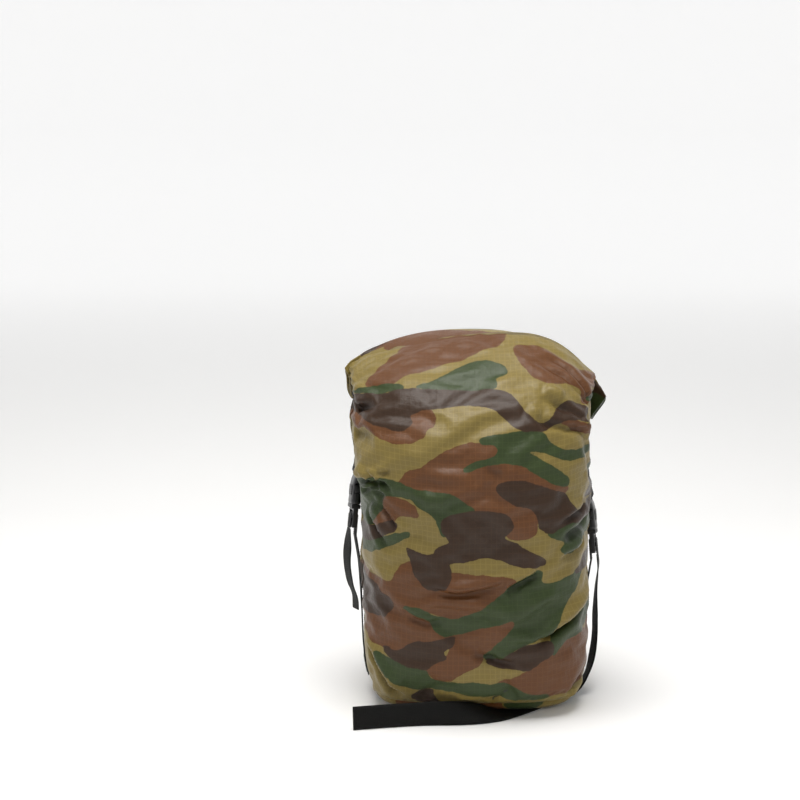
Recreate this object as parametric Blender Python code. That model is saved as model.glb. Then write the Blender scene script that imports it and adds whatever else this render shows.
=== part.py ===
"""Roll-top compression stuff sack, packed full and buckled shut at both sides.

The sack stands on its base. +X is its right side, -Y its front, and the origin is the middle of the
patch on which it rests. The mouth is flattened, rolled three times round a stiffener and pulled down
at both ends by webbing straps with side-release buckles. Metres, +Z up.
"""

import math

import bmesh
import bpy
from mathutils import Matrix, Vector

MM = 0.001
GAP = 0.4 * MM

# Driving dimensions of the packed sack
FABRIC = 1.2 * MM
RIDGE_HEIGHT = 392 * MM
SECTION_POWER = 2.5
WALL_COLUMNS = 36
# Height of each station, half width, front and back of the sack there
STATIONS = [
    (13, 107, -67, 66),
    (20, 111, -78, 77),
    (34, 115, -88, 86),
    (60, 117.5, -94, 92),
    (100, 119, -96, 95),
    (160, 119.5, -98, 97),
    (225, 120, -98, 96),
    (285, 123, -90, 91),
    (330, 125, -66, 82),
    (362, 121, -28, 72),
    (383, 113, 14, 62),
    (392, 107, 40, 54),
]
SHOULDER_HEIGHT = 300 * MM
RIDGE_DROOP = 22 * MM
DROOP_POWER = 2.4
REST_SHARE = 0.48
LOAD_INSET = 5 * MM
TAPE_WIDTH = 12 * MM
TAPE_THICKNESS = 0.8 * MM

# Rolled mouth
ROLL_HALF_SPAN = 134 * MM
ROLL_HEIGHT = 366 * MM
ROLL_DROOP = {-1: 29 * MM, 1: 55 * MM}
ROLL_BACK = 86 * MM
ROLL_FORWARD = 38 * MM
ROLL_LEAN = math.radians(10)
ROLL_HALF_HEIGHT = 22 * MM
ROLL_HALF_DEPTH = 9 * MM
ROLL_TURNS = 1.75
ROLL_PITCH = 3.7 * MM
ROLL_LAYER = 2.7 * MM
STIFFENER_HALF_HEIGHT = 11 * MM
STIFFENER_THICKNESS = 1.0 * MM
NECK = 2.0 * MM
NECK_HALF_SPANS = (105 * MM, 124 * MM)

# Webbing straps
WEB_WIDTH = 25 * MM
WEB = 1.4 * MM
ANCHOR_HEIGHT = 20 * MM
STRAP_FOOT_Y = 8 * MM
STRAP_SLOPE = 0.185
STRAP_TOP_X = 121 * MM
PATCH = (32 * MM, 38 * MM, 1.0 * MM)

# Side-release buckles: mouth height on each side, then the parts in the buckle's own axes
BUCKLE_X = 130 * MM
BUCKLE_HEIGHT = {-1: 204 * MM, 1: 177 * MM}
BUCKLE_TILT = math.radians(5)
BUCKLE_TURN = math.radians(9)
BUCKLE_HALF_WIDTH = 16.5 * MM
BUCKLE_HALF_DEPTH = 5.5 * MM
HOUSING_LENGTH = 40 * MM
CAVITY = (14.2 * MM, 3.4 * MM, 25.5 * MM)
WINDOW = (11.2 * MM, 22.5 * MM)
STRAP_SLOT = (31 * MM, 36 * MM)
SLOT_HALF_WIDTH = 13.2 * MM
PLUG_LENGTH = 26 * MM
PLUG_HALF_DEPTH = 2.75 * MM
BAR_HALF_DEPTH = 1.9 * MM
LADDER_SLOTS = ((-12 * MM, -7.2 * MM), (-21 * MM, -16 * MM))
ARM_HALF_DEPTH = 2.6 * MM
ARM_PIVOT = Vector((11 * MM, 0, 0))
LOOP_RADIUS = 3.8 * MM
SIDES = {"left": -1, "right": 1}

# Free ends of the two straps: points down the middle and the way the webbing's width lies there
LEFT_TAIL = [
    ((-137.5, 33.6, 158), (-0.34, 0.94, 0)),
    ((-138.0, 30.0, 140), (-0.34, 0.94, 0)),
    ((-135.0, 26.0, 120), (-0.34, 0.94, 0)),
    ((-129.5, 23.5, 104), (-0.3, 0.95, 0)),
    ((-128.5, 21.5, 90), (-0.3, 0.95, 0)),
]
RIGHT_TAIL = [
    ((137.0, 29.5, 136), (0.14, 0.98, 0)),
    ((134.5, 24.8, 112), (0.0, 1, 0)),
    ((133.5, 19.5, 86), (-0.14, 0.98, 0)),
    ((133.0, 14.2, 62), (-0.14, 0.98, 0)),
    ((129.5, 9.0, 38), (-0.14, 0.98, 0)),
    ((122.5, 6.0, 17), (0, 1, 0)),
    ((111.0, 4.0, 4.6), (-0.15, 1, 0)),
    ((95.0, 0.0, 1.7), (-0.4, 1, 0)),
    ((77.0, -22.0, 1.5), (-0.8, 0.9, 0)),
    ((57.0, -46.0, 1.6), (-0.55, 0.85, 0.02)),
    ((28.0, -72.0, 3.2), (-0.3, 0.93, 0.16)),
    ((1.5, -87.0, 9.2), (-0.2, 0.72, 0.66)),
    ((-27.0, -95.0, 12.4), (-0.1, 0.35, 0.93)),
    ((-60.0, -100.0, 13.1), (0, 0.12, 1)),
    ((-95.0, -106.0, 13.1), (0, 0.12, 1)),
    ((-129.0, -113.0, 13.1), (0, 0.12, 1)),
]

COLOURS = {
    "ripstop": ((0.16, 0.13, 0.055), 0.55, 0.0),
    "base_fabric": ((0.13, 0.11, 0.05), 0.6, 0.0),
    "webbing": ((0.012, 0.012, 0.013), 0.8, 0.0),
    "buckle_plastic": ((0.015, 0.015, 0.016), 0.35, 0.0),
    "tape": ((0.2, 0.2, 0.19), 0.5, 0.0),
    "load": ((0.1, 0.12, 0.08), 0.9, 0.0),
    "stiffener": ((0.4, 0.4, 0.38), 0.5, 0.0),
}


def clear_scene():
    for obj in list(bpy.data.objects):
        bpy.data.objects.remove(obj)


def material(name):
    """The Principled material of that name, made once."""
    found = bpy.data.materials.get(name)
    if found:
        return found
    made = bpy.data.materials.new(name)
    made.use_nodes = True
    shader = made.node_tree.nodes["Principled BSDF"]
    colour, roughness, metallic = COLOURS[name]
    shader.inputs["Base Color"].default_value = (*colour, 1)
    shader.inputs["Roughness"].default_value = roughness
    shader.inputs["Metallic"].default_value = metallic
    return made


def add_object(name, mesh, slot):
    """A new object whose faces all point out, shaded smooth where it is round."""
    bm = bmesh.new()
    bm.from_mesh(mesh)
    bmesh.ops.recalc_face_normals(bm, faces=bm.faces)
    bm.to_mesh(mesh)
    bm.free()
    mesh.shade_smooth()
    mesh.set_sharp_from_angle(angle=math.radians(35))
    obj = bpy.data.objects.new(name, mesh)
    bpy.context.scene.collection.objects.link(obj)
    mesh.materials.append(material(slot))
    return obj


def grid_mesh(name, rows, around=True, caps=True):
    """Joins rows of points into a tube, or into a sheet when it doesn't go all round."""
    columns = len(rows[0])
    faces = []
    for r in range(len(rows) - 1):
        for c in range(columns if around else columns - 1):
            d = (c + 1) % columns
            faces.append((r * columns + c, r * columns + d, (r + 1) * columns + d, (r + 1) * columns + c))
    if around and caps:
        faces.append(tuple(reversed(range(columns))))
        faces.append(tuple(range((len(rows) - 1) * columns, len(rows) * columns)))
    mesh = bpy.data.meshes.new(name)
    mesh.from_pydata([tuple(p) for row in rows for p in row], [], faces)
    return mesh


def solidify(obj, thickness):
    """Gives a sheet its thickness, inwards from the way its faces point."""
    modifier = obj.modifiers.new("thickness", "SOLIDIFY")
    modifier.thickness = thickness
    modifier.offset = -1
    modifier.use_even_offset = True
    return obj


def catmull_rom(values, t):
    """The smooth curve through a list of equally spaced vectors, at index t."""
    i = min(int(t), len(values) - 2)
    f = t - i
    p1, p2 = values[i], values[i + 1]
    p0 = values[i - 1] if i > 0 else 2 * p1 - p2
    p3 = values[i + 2] if i + 2 < len(values) else 2 * p2 - p1
    return 0.5 * (
        2 * p1 + (p2 - p0) * f + (2 * p0 - 5 * p1 + 4 * p2 - p3) * f**2 + (3 * p1 - p0 - 3 * p2 + p3) * f**3
    )


# The sack's outer surface


def station_at(level):
    """Half width, middle and half depth of the sack, and its height, at a level counted in stations."""
    height, half_width, front, back = catmull_rom([Vector(s) for s in STATIONS], level) * MM
    return half_width, (front + back) / 2, (back - front) / 2, height


def level_of(height):
    """The level, counted in stations, at which the sack has that height."""
    low, high = 0.0, len(STATIONS) - 1.0
    for _ in range(40):
        middle = (low + high) / 2
        if station_at(middle)[3] < height:
            low = middle
        else:
            high = middle
    return low


def ridge_droop(height, share):
    """How far the sack's top comes down towards its two ends, where share is |x| over the half width."""
    rise = max(0.0, (height - SHOULDER_HEIGHT) / (RIDGE_HEIGHT - SHOULDER_HEIGHT))
    return RIDGE_DROOP * rise**1.5 * share**DROOP_POWER


def power(value, exponent):
    return math.copysign(abs(value) ** exponent, value)


def surface_point(level, angle, inset=0.0):
    """A point of the outer surface, or that far inside it. Angle 0 is the right side, a quarter turn the back."""
    half_width, middle, half_depth, height = station_at(level)
    x = (half_width - inset) * power(math.cos(angle), 2 / SECTION_POWER)
    y = middle + (half_depth - inset) * power(math.sin(angle), 2 / SECTION_POWER)
    return Vector((x, y, height - ridge_droop(height, min(1.0, abs(x) / half_width))))


def side_point(side, y, height, out=0.0):
    """The point that far outside the sack's left or right wall, at that depth and height."""
    half_width, middle, half_depth, _ = station_at(level_of(height))
    share = (1 - abs((y - middle) / half_depth) ** SECTION_POWER) ** (1 / SECTION_POWER)
    return Vector((side * (half_width * share + out), y, height))


def wall_rows(levels, inset=0.0):
    angles = [2 * math.pi * c / WALL_COLUMNS for c in range(WALL_COLUMNS)]
    return [[surface_point(level, angle, inset) for angle in angles] for level in levels]


def make_side_panel():
    """The fabric tube from the base seam to the flattened mouth on the ridge, open at both ends."""
    levels = [0.12] + [0.5 * k for k in range(1, 2 * len(STATIONS) - 3)] + [len(STATIONS) - 1]
    mesh = grid_mesh("side_panel", wall_rows(levels), caps=False)
    solidify(add_object("side_panel", mesh, "ripstop"), FABRIC)


def base_height(share):
    """How far the base bulges clear of the ground, at that share of the way out to its seam."""
    return (STATIONS[0][0] * MM - FABRIC) * max(0.0, (share - REST_SHARE) / (1 - REST_SHARE)) ** 1.5


def base_ring(share, inset, lift):
    return [
        Vector((p.x * share, p.y * share, base_height(share) + lift))
        for p in wall_rows([0], inset)[0]
    ]


def make_base_panel():
    """The oval base, flat where it rests and bulging up to its seam."""
    shares = [0.3, REST_SHARE, 0.8, 0.9, 0.985]
    rows = [base_ring(share, 0, 0) for share in shares]
    mesh = grid_mesh("base_panel", rows, caps=False)
    bm = bmesh.new()
    bm.from_mesh(mesh)
    bm.verts.ensure_lookup_table()
    bm.faces.new([bm.verts[c] for c in range(WALL_COLUMNS)])
    bm.to_mesh(mesh)
    bm.free()
    obj = add_object("base_panel", mesh, "base_fabric")
    if obj.data.polygons[-1].normal.z > 0:
        obj.data.flip_normals()
    solidify(obj, FABRIC)


def make_base_binding():
    """The tape that binds the base seam on the inside."""
    rows = wall_rows([1.0, 1.5, 2.0], FABRIC + 3 * GAP)
    obj = add_object("base_seam_binding", grid_mesh("base_seam_binding", rows, caps=False), "tape")
    solidify(obj, TAPE_THICKNESS)


def make_seam_tape(name, side):
    """The tape inside one of the two side seams, where the front of the tube is sewn to its back."""
    inset = FABRIC + 3 * GAP
    reach = TAPE_WIDTH / 2
    rows = []
    for step in range(14):
        p = surface_point(2.5 + 0.5 * step, 0.0 if side > 0 else math.pi, inset)
        rows.append([Vector((p.x, p.y + y, p.z)) for y in (-reach, 0, reach)])
    obj = add_object(name, grid_mesh(name, rows, around=False), "tape")
    if obj.data.polygons[0].normal.x * side < 0:
        obj.data.flip_normals()
    solidify(obj, TAPE_THICKNESS)


def make_packed_load():
    """The rolled bedding that fills the sack and gives it its shape."""
    rows = [base_ring(share, LOAD_INSET, FABRIC + GAP + lift) for share, lift in ((0.58, 0), (0.9, 0.002))]
    rows += wall_rows([0.6, 1.5, 2.5, 3.5, 4.5, 5.5, 6.5, 7.5, 8.5, 9.2], LOAD_INSET)
    for p in rows[-1]:
        p.z -= 2 * LOAD_INSET / 3
    add_object("packed_load", grid_mesh("packed_load", rows), "load")


# The rolled mouth


def roll_centre(x):
    share = abs(x) / ROLL_HALF_SPAN
    droop = ROLL_DROOP[1 if x > 0 else -1]
    return Vector((x, ROLL_BACK - ROLL_FORWARD * share**3, ROLL_HEIGHT - droop * share**DROOP_POWER))


def roll_frame(x):
    """Centre, outward and upward directions of the roll's section at that x."""
    lean = Vector((0, -math.sin(ROLL_LEAN), math.cos(ROLL_LEAN)))
    step = 0.5 * MM
    along = (roll_centre(x + step) - roll_centre(x - step)).normalized()
    up = (lean - lean.dot(along) * along).normalized()
    return roll_centre(x), up.cross(along).normalized(), up


def roll_frames(steps):
    """The roll's sections from its left end to its right, closer together towards the ends."""
    return [roll_frame(ROLL_HALF_SPAN * math.sin(math.pi / 2 * (2 * k / steps - 1))) for k in range(steps + 1)]


def roll_outline():
    """The flattened spiral of the folded mouth, as one closed outline of (out, up) points."""
    count = 28
    outer, inner = [], []
    for k in range(count + 1):
        turn = ROLL_TURNS * k / count
        angle = 2 * math.pi * turn + math.pi / 2
        shrink = ROLL_PITCH * turn
        for ring, shift in ((outer, ROLL_LAYER / 2), (inner, -ROLL_LAYER / 2)):
            out = (ROLL_HALF_DEPTH - shrink + shift) * math.cos(angle)
            up = (ROLL_HALF_HEIGHT - shrink + shift) * math.sin(angle)
            ring.append((out, up))
    return outer + inner[::-1]


def sweep(name, outline, frames, slot):
    rows = [[centre + out * a + up * b for a, b in outline] for centre, out, up in frames]
    return add_object(name, grid_mesh(name, rows), slot)


def make_roll():
    sweep("rolled_mouth", roll_outline(), roll_frames(14), "ripstop")
    half = STIFFENER_THICKNESS / 2
    reach = STIFFENER_HALF_HEIGHT
    strip = [(-half, -reach), (half, -reach), (half, reach), (-half, reach)]
    sweep("mouth_stiffener", strip, roll_frames(14), "stiffener")


def make_neck():
    """The flattened neck, which turns back over the ridge and runs down into the roll's outer fold."""
    lift = NECK + 2 * GAP
    rows = []
    for k in range(17):
        t = math.sin(math.pi / 2 * (k / 8 - 1))
        x = NECK_HALF_SPANS[0] * t
        half_width, middle, half_depth, height = station_at(len(STATIONS) - 1)
        reach = half_depth * (1 - abs(x / half_width) ** SECTION_POWER) ** (1 / SECTION_POWER)
        z = height - ridge_droop(height, abs(x) / half_width) + lift
        centre, out, up = roll_frame(NECK_HALF_SPANS[1] * t)
        top = centre + up * (ROLL_HALF_HEIGHT + ROLL_LAYER / 2 + lift)
        ridge = [Vector((x, middle - reach - 2.5 * MM, z)), Vector((x, middle, z + 1.5 * MM))]
        turn = Vector((x, middle + reach + 4 * MM, z + 1 * MM))
        rows.append(ridge + [turn, turn.lerp(top, 0.5) + Vector((0, 0, 2 * MM)), top, top + out * 5 * MM - up * 1.5 * MM])
    obj = add_object("folded_neck", grid_mesh("folded_neck", rows, around=False), "ripstop")
    if obj.data.polygons[0].normal.z < 0:
        obj.data.flip_normals()
    solidify(obj, NECK)


# Webbing


def ribbon(name, route, width=WEB_WIDTH, thickness=WEB, slot="webbing"):
    """Webbing along a route of (centre, direction of its width)."""
    rows = []
    for k, (centre, across) in enumerate(route):
        before = route[max(0, k - 1)][0]
        after = route[min(len(route) - 1, k + 1)][0]
        along = (after - before).normalized()
        side = (across - across.dot(along) * along).normalized() * width / 2
        up = along.cross(side).normalized() * thickness / 2
        rows.append([centre - side - up, centre + side - up, centre + side + up, centre - side + up])
    return add_object(name, grid_mesh(name, rows), slot)


def smooth_route(route, steps):
    """More points on the smooth curve through a route, with that many steps between two of its points."""
    centres = [Vector(p) for p, _ in route]
    across = [Vector(w) for _, w in route]
    count = (len(route) - 1) * steps
    places = [k / steps for k in range(count + 1)]
    return [(catmull_rom(centres, t), catmull_rom(across, t).normalized()) for t in places]


def buckle_frame(side):
    """The buckle's axes in the world: X across it, Y out of the sack, Z up the strap. Its origin is its mouth."""
    height = BUCKLE_HEIGHT[side]
    up = Vector((-side * math.sin(BUCKLE_TILT), STRAP_SLOPE, 1)).normalized()
    out = Vector((side * math.cos(BUCKLE_TURN), -math.sin(BUCKLE_TURN), 0))
    out = (out - out.dot(up) * up).normalized()
    place = Vector((side * BUCKLE_X, strap_y(height), height))
    frame = Matrix((out.cross(up), out, up)).transposed().to_4x4()
    frame.translation = place
    return frame


def strap_y(height):
    """How far back the strap's line is at that height."""
    return STRAP_FOOT_Y + STRAP_SLOPE * (height - ANCHOR_HEIGHT)


def local_route(frame, points):
    """Points (out, up) in a buckle's middle plane as a route in the world."""
    across = frame.to_3x3() @ Vector((1, 0, 0))
    return [(frame @ Vector((0, out, up)), across) for out, up in points]


def loop_points(out, up, radius, start, end, count=6):
    """An arc round a bar, in the buckle's middle plane."""
    angles = [math.radians(start + (end - start) * k / count) for k in range(count + 1)]
    return [(out + radius * math.cos(a), up + radius * math.sin(a)) for a in angles]


def make_upper_strap(name, side):
    """From the seam under the roll down to the buckle's housing, round its bar and back up to where it is sewn."""
    frame = buckle_frame(side)
    bar = STRAP_SLOT[1] + 1.2 * MM
    sewn = [(-0.9 * MM, 63 * MM), (-0.9 * MM, 54 * MM), (-2.0 * MM, 46 * MM)]
    loop = loop_points(0, bar, LOOP_RADIUS, 180, 360)
    rise = [(2.0 * MM, 46 * MM), (0.9 * MM, 54 * MM), (0.9 * MM, 63 * MM)]
    across = frame.to_3x3() @ Vector((1, 0, 0))
    centre, _, up = roll_frame(side * STRAP_TOP_X)
    top = centre - up * (ROLL_HALF_HEIGHT + ROLL_LAYER / 2 + 4 * GAP)
    route = local_route(frame, sewn + loop + rise)
    for share in (0.35, 0.7, 1.0):
        route.append((route[-1][0].lerp(top, share), across))
    ribbon(name, route)


def make_lower_strap(name, side):
    """From the patch at the base up the side, in behind the ladder bars and out over the middle one."""
    frame = buckle_frame(side)
    bar = LADDER_SLOTS[0][0] - 1.2 * MM
    radius = LOOP_RADIUS - 0.2 * MM
    out = WEB / 2 + PATCH[2] + 5 * GAP
    top = BUCKLE_HEIGHT[side] - 62 * MM
    heights = [ANCHOR_HEIGHT + (top - ANCHOR_HEIGHT) * k / 12 for k in range(13)]
    across = frame.to_3x3() @ Vector((1, 0, 0))
    flat = Vector((side, 0, 0)).cross(frame.to_3x3() @ Vector((0, 0, 1)))
    route = []
    for k, h in enumerate(heights):
        turn = (k / 12) ** 2
        route.append((side_point(side, strap_y(h), h, out + 3 * MM * turn), flat.lerp(across, turn)))
    ladder = [(-radius, -34 * MM), (-radius, -24 * MM)] + loop_points(0, bar, radius, 180, 0)
    ladder += [(radius, -PLUG_LENGTH - GAP)]
    ribbon(name, route + local_route(frame, ladder))


def make_tails():
    """The free ends of the webbing: a short one hanging on the left, a long one on the right."""
    for name, side, points in (("left_strap_tail", -1, LEFT_TAIL), ("right_strap_tail", 1, RIGHT_TAIL)):
        frame = buckle_frame(side)
        start = frame @ Vector((0, LOOP_RADIUS - 0.2 * MM, -PLUG_LENGTH - 4 * GAP))
        route = [(start, frame.to_3x3() @ Vector((side * -1, 0, 0)))]
        route += [(Vector(p) * MM, Vector(w)) for p, w in points]
        ribbon(name, smooth_route(route, 3))


def make_anchor_patch(name, side):
    """The square of fabric sewn to the wall behind the foot of the strap."""
    width, height, thickness = PATCH
    rows = []
    for r in range(5):
        z = ANCHOR_HEIGHT - 2 * MM + height * r / 4
        row = [side_point(side, strap_y(z) + width * (c / 4 - 0.5), z, GAP + thickness) for c in range(5)]
        rows.append(row)
    obj = add_object(name, grid_mesh(name, rows, around=False), "ripstop")
    if obj.data.polygons[0].normal.x * side < 0:
        obj.data.flip_normals()
    solidify(obj, thickness)


# Buckles


def add_box(name, low, high, slot="buckle_plastic", bevel=0.0):
    """A box between two corners, its edges rounded if a bevel is given."""
    bm = bmesh.new()
    bmesh.ops.create_cube(bm, size=1)
    size = Vector(high) - Vector(low)
    bmesh.ops.scale(bm, vec=size, verts=bm.verts)
    bmesh.ops.translate(bm, vec=(Vector(high) + Vector(low)) / 2, verts=bm.verts)
    if bevel:
        bmesh.ops.bevel(bm, geom=bm.edges, offset=bevel, segments=2, profile=0.5, affect="EDGES")
    mesh = bpy.data.meshes.new(name)
    bm.to_mesh(mesh)
    bm.free()
    return add_object(name, mesh, slot)


def boolean(obj, other, operation):
    """Cuts or joins another object, which then stays only as a guide."""
    modifier = obj.modifiers.new(operation.lower(), "BOOLEAN")
    modifier.operation = operation
    modifier.object = other
    modifier.solver = "EXACT"
    other.hide_render = True
    other.display_type = "WIRE"


def make_housing(name, rig):
    """The female half: a flat tube with side windows, and a bar for the sewn strap at its far end."""
    rings = [
        (0, BUCKLE_HALF_WIDTH, BUCKLE_HALF_DEPTH),
        (2 * MM, BUCKLE_HALF_WIDTH + 0.6 * MM, BUCKLE_HALF_DEPTH + 0.4 * MM),
        (8 * MM, BUCKLE_HALF_WIDTH, BUCKLE_HALF_DEPTH),
        (22 * MM, BUCKLE_HALF_WIDTH, BUCKLE_HALF_DEPTH - 0.3 * MM),
        (27 * MM, BUCKLE_HALF_WIDTH - 0.2 * MM, BUCKLE_HALF_DEPTH - 1.2 * MM),
        (31 * MM, BUCKLE_HALF_WIDTH - 0.6 * MM, 2.8 * MM),
        (37 * MM, BUCKLE_HALF_WIDTH - 1.0 * MM, 2.5 * MM),
        (HOUSING_LENGTH, BUCKLE_HALF_WIDTH - 2.2 * MM, 2.0 * MM),
    ]
    rows = []
    for z, half_width, half_depth in rings:
        angles = [2 * math.pi * (c + 0.5) / 20 for c in range(20)]
        rows.append([
            Vector((half_width * power(math.cos(a), 0.5), half_depth * power(math.sin(a), 0.7), z))
            for a in angles
        ])
    housing = add_object(name, grid_mesh(name, rows), "buckle_plastic")
    half_width, half_depth, depth = CAVITY
    cutters = [add_box(name + "_cavity", (-half_width, -half_depth, -5 * MM), (half_width, half_depth, depth))]
    low, high = WINDOW
    reach = 25 * MM
    cutters.append(add_box(name + "_windows", (-reach, -half_depth + 0.1 * MM, low), (reach, half_depth - 0.1 * MM, high)))
    low, high = STRAP_SLOT
    cutters.append(add_box(name + "_slot", (-SLOT_HALF_WIDTH, -reach, low), (SLOT_HALF_WIDTH, reach, high)))
    housing.parent = rig
    for cutter in cutters:
        cutter.parent = rig
        boolean(housing, cutter, "DIFFERENCE")


def make_plug(name, rig):
    """The male half without its arms: a flange, a middle guide and two ladder bars for the strap."""
    width = BUCKLE_HALF_WIDTH
    plug = add_box(
        name, (-width, -PLUG_HALF_DEPTH, -PLUG_LENGTH), (width, PLUG_HALF_DEPTH, -1 * MM), bevel=1 * MM
    )
    flange = add_box(
        name + "_flange", (-width, -5 * MM, -5.2 * MM), (width, 5 * MM, -GAP), bevel=1 * MM
    )
    guide = add_box(name + "_guide", (-3.2 * MM, -1.5 * MM, -3 * MM), (3.2 * MM, 1.5 * MM, 22 * MM), bevel=0.7 * MM)
    plug.parent = rig
    for piece in (flange, guide):
        piece.parent = rig
        boolean(plug, piece, "UNION")
    reach = 12 * MM
    for number, (low, high) in enumerate(LADDER_SLOTS):
        slot = add_box(f"{name}_slot_{number}", (-SLOT_HALF_WIDTH, -reach, low), (SLOT_HALF_WIDTH, reach, high))
        slot.parent = rig
        boolean(plug, slot, "DIFFERENCE")
    for number, face in enumerate((-1, 1)):
        near, far = face * BAR_HALF_DEPTH, face * reach
        recess = add_box(
            f"{name}_recess_{number}",
            (-SLOT_HALF_WIDTH, min(near, far), -PLUG_LENGTH - reach),
            (SLOT_HALF_WIDTH, max(near, far), LADDER_SLOTS[0][0] + 1 * MM),
        )
        recess.parent = rig
        boolean(plug, recess, "DIFFERENCE")


def arm_outline():
    """The springy arm with its catch and thumb pad, as (across, up) points; across is away from the guide."""
    pad = [(16.9 + 0.5 * math.sin(math.pi * k / 4), 12.4 + 2 * k) for k in range(5)]
    points = [(9.4, 0.5), (12.8, 0.5), (13.5, 7.0), (13.6, 12.2)] + pad
    points += [(14.6, 21.4), (12.4, 24.0), (10.6, 24.6), (9.4, 23.4), (10.2, 16.0), (10.6, 9.0)]
    return [(x * MM, z * MM) for x, z in points]


def make_arm(name, rig, hand):
    """One arm, with its origin on the line about which it flexes."""
    shift = Vector((ARM_PIVOT.x * hand, 0, 0))
    rows = []
    for depth in (-ARM_HALF_DEPTH, -ARM_HALF_DEPTH + 0.8 * MM, ARM_HALF_DEPTH - 0.8 * MM, ARM_HALF_DEPTH):
        inset = 0.95 if abs(depth) == ARM_HALF_DEPTH else 1.0
        middle = Vector((12 * MM, 0, 12 * MM))
        rows.append([])
        for x, z in arm_outline():
            p = middle + (Vector((x, 0, z)) - middle) * inset
            rows[-1].append(Vector((p.x * hand, depth, p.z)) - shift)
    arm = add_object(name, grid_mesh(name, rows), "buckle_plastic")
    arm.parent = rig
    arm.location = shift


def make_buckle(word, side):
    rig = bpy.data.objects.new(f"{word}_buckle_rig", None)
    bpy.context.scene.collection.objects.link(rig)
    rig.matrix_world = buckle_frame(side)
    make_housing(f"{word}_buckle_housing", rig)
    make_plug(f"{word}_buckle_plug", rig)
    make_arm(f"{word}_buckle_front_arm", rig, side)
    make_arm(f"{word}_buckle_rear_arm", rig, -side)


def main():
    clear_scene()
    make_side_panel()
    make_base_panel()
    make_base_binding()
    make_packed_load()
    make_roll()
    make_neck()
    for word, side in SIDES.items():
        make_seam_tape(f"{word}_seam_tape", side)
        make_anchor_patch(f"{word}_anchor_patch", side)
        make_upper_strap(f"{word}_upper_strap", side)
        make_lower_strap(f"{word}_lower_strap", side)
        make_buckle(word, side)
    make_tails()


main()
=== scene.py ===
"""The stuff sack's looks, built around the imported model. Metres, +Z up, the sack's front towards -Y."""

import math

import bpy
import numpy as np
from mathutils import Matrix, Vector
from mathutils.bvhtree import BVHTree


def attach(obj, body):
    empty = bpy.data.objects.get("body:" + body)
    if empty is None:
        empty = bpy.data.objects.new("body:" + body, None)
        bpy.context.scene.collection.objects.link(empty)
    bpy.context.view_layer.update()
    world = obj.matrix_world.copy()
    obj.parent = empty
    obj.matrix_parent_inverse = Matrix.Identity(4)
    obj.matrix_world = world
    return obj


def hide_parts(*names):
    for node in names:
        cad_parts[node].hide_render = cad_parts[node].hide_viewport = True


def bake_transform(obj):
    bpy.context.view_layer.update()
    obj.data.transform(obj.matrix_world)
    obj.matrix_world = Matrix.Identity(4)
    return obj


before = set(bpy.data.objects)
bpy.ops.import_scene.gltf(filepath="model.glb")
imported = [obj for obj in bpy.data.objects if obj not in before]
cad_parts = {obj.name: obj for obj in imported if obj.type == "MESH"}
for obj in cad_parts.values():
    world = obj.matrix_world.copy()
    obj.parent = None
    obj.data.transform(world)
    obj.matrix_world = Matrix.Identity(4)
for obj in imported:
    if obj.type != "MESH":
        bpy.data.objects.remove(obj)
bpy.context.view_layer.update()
MM = 0.001
SIDES = {"left": -1, "right": 1}

# Camera and light

CAMERA_PLACE = (-0.0801, -2.1288, 0.7647)
CAMERA_TILT = math.radians(78.4)
CAMERA_LENS = 92.07
SOFT_WHITE = (1, 0.985, 0.955)


def make_camera():
    data = bpy.data.cameras.new("camera")
    data.lens = CAMERA_LENS
    data.sensor_width = 36
    camera = bpy.data.objects.new("camera", data)
    camera.location = CAMERA_PLACE
    camera.rotation_euler = (CAMERA_TILT, 0, 0)
    bpy.context.collection.objects.link(camera)
    bpy.context.scene.camera = camera


def area_light(name, place, target, size, power):
    data = bpy.data.lights.new(name, "AREA")
    data.shape = "RECTANGLE"
    data.size, data.size_y = size
    data.energy = power
    data.color = SOFT_WHITE
    light = bpy.data.objects.new(name, data)
    light.location = place
    light.rotation_euler = (Vector(target) - Vector(place)).to_track_quat("-Z", "Y").to_euler()
    bpy.context.collection.objects.link(light)


# Routes of the webbing, as in the CAD source

GAP = 0.4 * MM
WEB_WIDTH = 25 * MM
WEB = 1.4 * MM
ANCHOR_HEIGHT = 20 * MM
STRAP_FOOT_Y = 8 * MM
STRAP_SLOPE = 0.185
BUCKLE_X = 130 * MM
BUCKLE_HEIGHT = {-1: 204 * MM, 1: 177 * MM}
BUCKLE_TILT = math.radians(5)
BUCKLE_TURN = math.radians(9)
PLUG_LENGTH = 26 * MM
HOUSING_HALF_WIDTH = 16.5 * MM
HOUSING_HALF_DEPTH = 5.5 * MM
LOOP_RADIUS = 3.8 * MM
STRAP_SLOT_TOP = 36 * MM
LADDER_BAR = -12 * MM
LEFT_TAIL = [
    ((-137.5, 33.6, 158), (-0.34, 0.94, 0)),
    ((-138, 30, 140), (-0.34, 0.94, 0)),
    ((-135, 26, 120), (-0.34, 0.94, 0)),
    ((-129.5, 23.5, 104), (-0.3, 0.95, 0)),
    ((-128.5, 21.5, 90), (-0.3, 0.95, 0)),
]
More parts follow.
